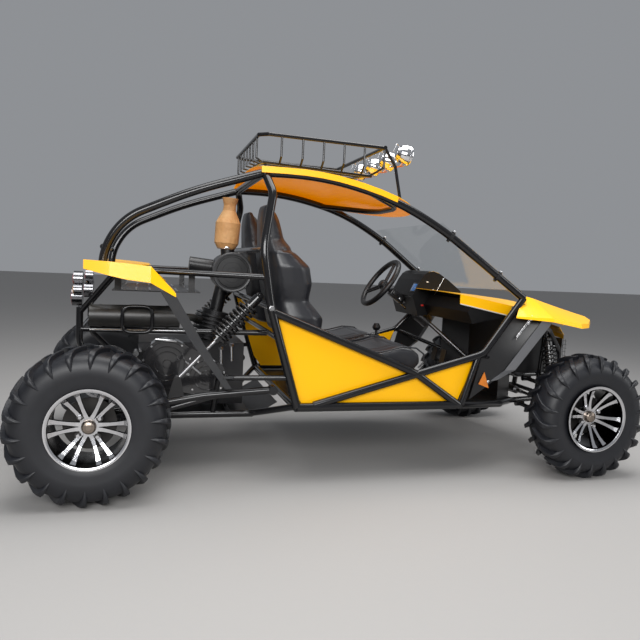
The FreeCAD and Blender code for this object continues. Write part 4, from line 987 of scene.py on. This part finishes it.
# ---------------------------------------------------------------- gear lever and pedals
# Black knob shaped as an upturned cone on a black rod, in a ribbed rubber boot; black
# steel pedals with raised bars on their pads.
dress(black_plastic, "gear_lever", "pedals")
LEVER_X = 0.2825
BOOT_PROFILE = (
    (0.052, 0.480), (0.050, 0.492), (0.042, 0.496), (0.043, 0.506), (0.034, 0.511),
    (0.035, 0.520), (0.025, 0.526), (0.025, 0.534), (0.013, 0.540),
)
boot = bmesh.new()
upright = Matrix.Translation((LEVER_X, 0, 0)) @ Matrix.Rotation(math.radians(90), 4, "X")
add(boot, spun(BOOT_PROFILE), upright)
piece("gear_boot", boot, "chassis", soft_grip)


# ---------------------------------------------------------------- engine and drive cover
# Cast block and finned cylinder in dark metal. The gloss black belt cover carries rings and a
# boss on each lid with a rim of small screws, and bright plates, rods and pipes stand beside it.
cast_metal = finish(
    "cast_metal", (0.020, 0.020, 0.022), 0.38, metallic=0.5, dust=0.06, scale=900.0, depth=0.0006
)
gloss_black = finish(
    "gloss_black", (0.013, 0.013, 0.015), 0.16, coat=0.5, dust=0.06, scale=90.0, depth=0.0003
)
heat_black = finish("heat_black", (0.012, 0.012, 0.012), 0.36, dust=0.12, scale=800.0, depth=0.0004)
dress(cast_metal, "engine_block", "engine_cylinder")
dress(gloss_black, "belt_cover")
BLOCK_SIDE = -0.170
LID_FACE = BLOCK_SIDE - 0.0963
RIM_FACE = BLOCK_SIDE - 0.0843
LIDS = (
    # x, z, radius, screws
    (-0.853, 0.500, 0.116, 9),
    (-0.668, 0.432, 0.094, 7),
)
cover_screws, cover_ribs = bmesh.new(), bmesh.new()
small_head = spun([(0, 0.004), (0.0045, 0.004), (0.0055, 0.003), (0.0055, 0), (0, 0)], 16)
lid_boss = spun([(0, 0.006), (0.018, 0.006), (0.021, 0.003), (0.021, 0), (0, 0)], 40)
for x, z, radius, screws in LIDS:
    circle = radius - 0.008
    for k in range(screws):
        angle = math.tau * (k + 0.3) / screws
        place = (x + circle * math.cos(angle), RIM_FACE, z + circle * math.sin(angle))
        add(cover_screws, small_head, toward(place, (0, -1, 0)))
    for inset in (0.022, 0.046):
        ring = spun(round_section(radius - 0.014 - inset, 0.0028, 10), 64, True)
        add(cover_ribs, ring, Matrix.Translation((x, LID_FACE, z)))
    add(cover_ribs, lid_boss, toward((x, LID_FACE, z), (0, -1, 0)))
piece("cover_screws", cover_screws, "chassis", bright_steel)
piece("cover_ribs", cover_ribs, "chassis", gloss_black)

bright_bits = bmesh.new()
plate_turn = Matrix.Rotation(math.radians(4), 4, "Y")
block(bright_bits, (-0.862, -0.270, 0.612), (0.100, 0.020, 0.010), 0.002, plate_turn)
FITTINGS = (
    # start, end, radius, sides
    ((-0.994, -0.250, 0.545), (-0.994, -0.180, 0.545), 0.013, 24),
    ((-0.975, -0.262, 0.560), (-0.975, -0.180, 0.560), 0.007, 6),
    ((-0.770, -0.262, 0.512), (-0.695, -0.262, 0.452), 0.008, 16),
)
for start, end, radius, sides in FITTINGS:
    bar(bright_bits, start, end, radius, sides=sides)
PIPE_Y = -0.300
for x, z in ((-0.560, 0.600), (-0.609, 0.585)):
    bar(bright_bits, (x, PIPE_Y, z), (x + 0.004, PIPE_Y, z - 0.080), 0.007, sides=16)
    bar(bright_bits, (x, PIPE_Y, z + 0.004), (x, PIPE_Y, z - 0.010), 0.012, sides=6)
piece("engine_fittings", bright_bits, "chassis", bright_steel)


# ---------------------------------------------------------------- air intake
# Drum with a charcoal rim and three clips round its stepped end cover, and the pre-filter in a
# warm tan wrap held by a band clamp at its foot.
dress(black_plastic, "air_filter")
wrap_tan = finish(
    "wrap_tan", (0.50, 0.25, 0.09), 0.62, dust=0.9, dust_colour=(0.80, 0.55, 0.28), scale=42.0, depth=0.009
)
dress(wrap_tan, "intake_sleeve")
DRUM = Vector((-0.548, -0.150, 0.937))
DRUM_RIM_PROFILE = (
    (0.0955, 0.016), (0.0955, 0.004), (0.0985, 0.002), (0.0985, -0.010), (0.0930, -0.013),
    (0.0860, -0.012), (0.0860, -0.002),
)
DRUM_STEPS = (
    # radius, height over the end cover
    (0.078, 0.002),
    (0.052, 0.003),
    (0.026, 0.004),
)
CLIPS, CLIP_CIRCLE = 3, 0.099
drum_rim = bmesh.new()
add(drum_rim, spun(DRUM_RIM_PROFILE, 72, True), Matrix.Translation(DRUM))
for k in range(CLIPS):
    angle = math.tau * (k + 0.6) / CLIPS
    clip = DRUM + Vector((CLIP_CIRCLE * math.cos(angle), 0.006, CLIP_CIRCLE * math.sin(angle)))
    block(drum_rim, clip, (0.008, 0.034, 0.016), 0.002, Matrix.Rotation(-angle, 4, "Y"))
bmesh.ops.recalc_face_normals(drum_rim, faces=drum_rim.faces)
drum_grey = finish("drum_grey", (0.06, 0.061, 0.064), 0.34, metallic=0.5, dust=0.10)
piece("drum_rim", drum_rim, "chassis", drum_grey)
drum_cover = bmesh.new()
cover_seat = toward(DRUM + Vector((0, -0.0005, 0)), (0, -1, 0))
for radius, rise in DRUM_STEPS:
    step = [(0, rise), (radius - 0.003, rise), (radius, rise - 0.003), (radius, -0.002), (0, -0.002)]
    add(drum_cover, spun(step, 56), cover_seat)
piece("drum_cover", drum_cover, "chassis", black_plastic)
clamp = bmesh.new()
clamp_band = spun([(0.0425, 0), (0.0445, 0), (0.0445, 0.012), (0.0425, 0.012)], 48, True)
add(clamp, clamp_band, toward((-0.5744, -0.080, 1.052), (0.06, 0, 1)))
block(clamp, (-0.574, -0.128, 1.058), (0.020, 0.012, 0.010), 0.002)
piece("sleeve_clamp", clamp, "chassis", bright_steel)


# ---------------------------------------------------------------- exhaust
# Black heat-proof muffler in two flat bands over a thin bright rail, with a closed loop of black
# rod on two feet before it.
dress(heat_black, "muffler")
MUFFLER_Y, MUFFLER_Z = -0.312, 0.7253
bands, heat_rail = bmesh.new(), bmesh.new()
strap = spun([(0.0502, -0.006), (0.0518, -0.006), (0.0518, 0.006), (0.0502, 0.006)], 56, True)
for x in (-1.150, -0.860):
    add(bands, strap, toward((x, MUFFLER_Y, MUFFLER_Z), (1, 0, 0)))
bar(heat_rail, (-1.192, -0.3415, 0.6640), (-0.770, -0.3415, 0.6640), 0.0035, sides=10)
piece("heat_rail", heat_rail, "chassis", bright_steel)
piece("muffler_bands", bands, "chassis", heat_black)
GUARD_MIDDLE = Vector((REAR_X + 0.171, -0.371, 0.716))
GUARD_HALF = (0.064, 0.058)
loop = spun(round_section(1.0, 0.13, 14), 64, True)
for vert in loop.verts:
    level = math.hypot(vert.co.x, vert.co.z)
    share_x, share_z = vert.co.x / level, vert.co.z / level
    square = (share_x**4 + share_z**4) ** -0.25
    thick = (level - 1.0) * GUARD_HALF[0]
    vert.co.x = share_x * (square * GUARD_HALF[0] + thick)
    vert.co.z = share_z * (square * GUARD_HALF[1] + thick)
    vert.co.y *= GUARD_HALF[0]
bmesh.ops.translate(loop, vec=GUARD_MIDDLE, verts=loop.verts)
for x in (-0.022, 0.022):
    foot = Vector((GUARD_MIDDLE.x + x, -0.322, 0.662))
    bar(loop, GUARD_MIDDLE + Vector((x, 0, -GUARD_HALF[1])), foot, 0.0055, sides=14)
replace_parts(piece("guard_loop", loop, "chassis", black_tube), "muffler_guard")


# ---------------------------------------------------------------- tail lamps
# Two round lamps over each other on each side: chrome bodies, red ribbed lenses facing back, and
# an amber indicator beside them.
chrome = finish("chrome", (0.80, 0.80, 0.81), 0.07, metallic=1.0, dust=0.04, scale=80.0, depth=0.0001)
dress(chrome, "roof_lamps")
lamp_body = finish("lamp_body", (0.20, 0.20, 0.21), 0.16, metallic=1.0, dust=0.08, scale=300.0, depth=0.0002)
dress(lamp_body, "tail_lamps")
RIBBED = {"coat": 0.7, "dust": 0.03, "scale": 260.0, "depth": 0.0008, "cells": 1.0}
red_lens = finish("red_lens", (0.45, 0.010, 0.012), 0.12, **RIBBED)
amber_lens = finish("amber_lens", (0.80, 0.42, 0.16), 0.14, **RIBBED)
LAMP_PLACE_X = REAR_X - 0.064
red_shell, amber_shell = bmesh.new(), bmesh.new()
TAIL_LAMPS = (
    # y, z, radius of the body, length of the body, lens
    (0.295, 0.806, 0.040, 0.044, red_shell),
    (0.295, 0.884, 0.035, 0.038, red_shell),
    (0.338, 0.838, 0.024, 0.034, amber_shell),
)
for hand in (-1, 1):
    for y, z, radius, length, shell in TAIL_LAMPS:
        face = radius * 0.90
        dome = [
            (0, 0.006), (face * 0.5, 0.005), (face * 0.85, 0.0025), (face, 0), (face, -0.002), (0, -0.002)
        ]
        add(shell, spun(dome, 40), toward((LAMP_PLACE_X - length, hand * y, z), (-1, 0, 0)))
piece("tail_lenses", red_shell, "chassis", red_lens)
piece("indicator_lenses", amber_shell, "chassis", amber_lens)


# ---------------------------------------------------------------- roof lamps
# Four work lamps on the basket's front bar: chrome bowls, speckled grey lenses in a chrome bezel,
# painted brackets, and a small wire stay over each bowl.
lens_grey = finish(
    "lens_grey",
    (0.30, 0.31, 0.32),
    0.18,
    metallic=0.6,
    coat=0.8,
    dust=0.05,
    scale=330.0,
    depth=0.0015,
    cells=1.0,
)
LAMP_CENTRES = ((0.252, 0.110, 1.552), (0.252, 0.330, 1.552))
LAMP_TILT = math.radians(12)
lamp_ahead = Vector((math.cos(LAMP_TILT), 0, -math.sin(LAMP_TILT)))
LENS_PROFILE = ((0, 0.009), (0.018, 0.008), (0.033, 0.0045), (0.0425, 0), (0.0425, -0.003), (0, -0.003))
BEZEL_PROFILE = (
    (0.0425, -0.002), (0.0425, 0.004), (0.0480, 0.003), (0.0505, -0.002), (0.0505, -0.010), (0.0490, -0.010),
)
BRACKET_Z = 1.4905
BRACKET_HALF = 0.0175
STAY_R = 0.0022
lens, lamp_bezel = spun(LENS_PROFILE, 48), spun(BEZEL_PROFILE, 48, True)
bracket_turn = Matrix.Rotation(math.radians(-8), 4, "Y")
lens_shell, bezel_shell, bracket_shell, stay_shell = bmesh.new(), bmesh.new(), bmesh.new(), bmesh.new()
for centre in both_sides(LAMP_CENTRES):
    face = toward(Vector(centre) + lamp_ahead * 0.028, lamp_ahead)
    add(lens_shell, lens, face)
    add(bezel_shell, lamp_bezel, face)
    foot = Vector((centre[0] - 0.030, centre[1], BRACKET_Z))
    block(bracket_shell, foot + Vector((0.002, 0, 0.001)), (0.046, 0.034, 0.004), 0.001, bracket_turn)
    for side in (-BRACKET_HALF, BRACKET_HALF):
        heel, tip = foot + Vector((0.004, side, 0)), foot + Vector((0.028, side, 0.030))
        bar(bracket_shell, heel, tip, 0.003, sides=10)
    back = Vector(centre) - lamp_ahead * 0.030 + Vector((0, 0, 0.036))
    bend = back + Vector((-0.012, 0, 0.010))
    bar(stay_shell, back, bend, STAY_R, sides=8)
    bar(stay_shell, bend, back + Vector((-0.026, 0, -0.030)), STAY_R, sides=8)
piece("lamp_lenses", lens_shell, "chassis", lens_grey)
piece("lamp_bezels", bezel_shell, "chassis", chrome)
piece("lamp_brackets", bracket_shell, "chassis", orange_and_shaded_yellow)
piece("lamp_stays", stay_shell, "chassis", bright_steel)


# ---------------------------------------------------------------- roof basket, nose and rack
# Welded rod basket in black coat, a wire mesh in the nose grille, and two rows of pressed ribs
# across the luggage plate over the engine.
dress(black_tube, "roof_basket")
dress(black_plastic, "nose_grille")
GRILLE_R = 0.0016
UPRIGHTS, UPRIGHT_PITCH = 15, 0.020
LEVELS, LEVEL_PITCH = 5, 0.0215
grille_wire = bmesh.new()
for k in range(UPRIGHTS):
    y = -0.140 + UPRIGHT_PITCH * k
    bar(grille_wire, (1.4005, y, 0.522), (1.3995, y, 0.627), GRILLE_R, sides=8)
for k in range(LEVELS):
    z = 0.532 + LEVEL_PITCH * k
    bar(grille_wire, (1.401, -0.148, z), (1.401, 0.148, z), GRILLE_R, sides=8)
piece("grille_wire", grille_wire, "chassis", steel)
RIBS, RIB_PITCH = 6, 0.060
rack_ribs = bmesh.new()
for hand in (-1, 1):
    for k in range(RIBS):
        x = -1.060 + RIB_PITCH * k
        block(rack_ribs, (x, hand * 0.245, 0.8468), (0.010, 0.280, 0.0016), 0.0006)
piece("rack_ribs", rack_ribs, "chassis", grey_sheet)


# ---------------------------------------------------------------- floor, light and camera
# Pale studio floor, a wide soft light overhead with a softer one from the camera's side, and
# the camera low beside the car, turned a little towards its nose.
floor_mesh = bmesh.new()
bmesh.ops.create_grid(floor_mesh, x_segments=1, y_segments=1, size=30)
floor_data = bpy.data.meshes.new("studio_floor")
floor_mesh.to_mesh(floor_data)
floor_mesh.free()
floor = bpy.data.objects.new("studio_floor", floor_data)
bpy.context.scene.collection.objects.link(floor)
floor_data.materials.append(finish("floor_pale", (0.36, 0.35, 0.34), 0.75, dust=0.0, scale=40.0, depth=0.001))

world = bpy.data.worlds.new("studio")
bpy.context.scene.world = world
world.use_nodes = True
world.node_tree.nodes["Background"].inputs["Color"].default_value = (0.80, 0.83, 0.88, 1)
world.node_tree.nodes["Background"].inputs["Strength"].default_value = 0.34


def soft_light(name, place, aim, size, power):
    """Rectangular lamp at a place, turned to a point."""
    lamp = bpy.data.lights.new(name, "AREA")
    lamp.shape = "RECTANGLE"
    lamp.size, lamp.size_y = size
    lamp.energy = power
    holder = bpy.data.objects.new(name, lamp)
    holder.location = place
    holder.rotation_euler = (Vector(aim) - Vector(place)).to_track_quat("-Z", "Y").to_euler()
    bpy.context.scene.collection.objects.link(holder)


soft_light("overhead", (0.2, -0.4, 4.4), (0, 0, 0.5), (5.0, 3.0), 230)
soft_light("camera_side", (-1.6, -5.0, 2.4), (0, 0, 0.6), (4.0, 1.6), 210)
soft_light("nose_side", (4.4, -2.4, 2.2), (0.4, 0, 0.6), (1.4, 2.4), 50)

CAMERA_PLACE = Vector((-0.965, -3.286, 0.996))
CAMERA_YAW, CAMERA_PITCH, CAMERA_ROLL = 0.2722, -0.0764, 0.0454
CAMERA_LENS = 35.68
CAMERA_RISE = -0.011
ahead = Vector((math.sin(CAMERA_YAW), math.cos(CAMERA_YAW), 0))
sideways = Vector((math.cos(CAMERA_YAW), -math.sin(CAMERA_YAW), 0))
up = Vector((0, 0, 1))
look = ahead * math.cos(CAMERA_PITCH) + up * math.sin(CAMERA_PITCH)
level_up = up * math.cos(CAMERA_PITCH) - ahead * math.sin(CAMERA_PITCH)
right = sideways * math.cos(CAMERA_ROLL) + level_up * math.sin(CAMERA_ROLL)
top = level_up * math.cos(CAMERA_ROLL) - sideways * math.sin(CAMERA_ROLL)
camera_data = bpy.data.cameras.new("camera")
camera_data.lens = CAMERA_LENS
camera_data.sensor_width = 36.0
camera_data.shift_y = CAMERA_RISE
camera = bpy.data.objects.new("camera", camera_data)
camera.matrix_world = Matrix.Translation(CAMERA_PLACE) @ Matrix((right, top, -look)).transposed().to_4x4()
bpy.context.scene.collection.objects.link(camera)
bpy.context.scene.camera = camera
bpy.context.scene.view_settings.view_transform = "Standard"
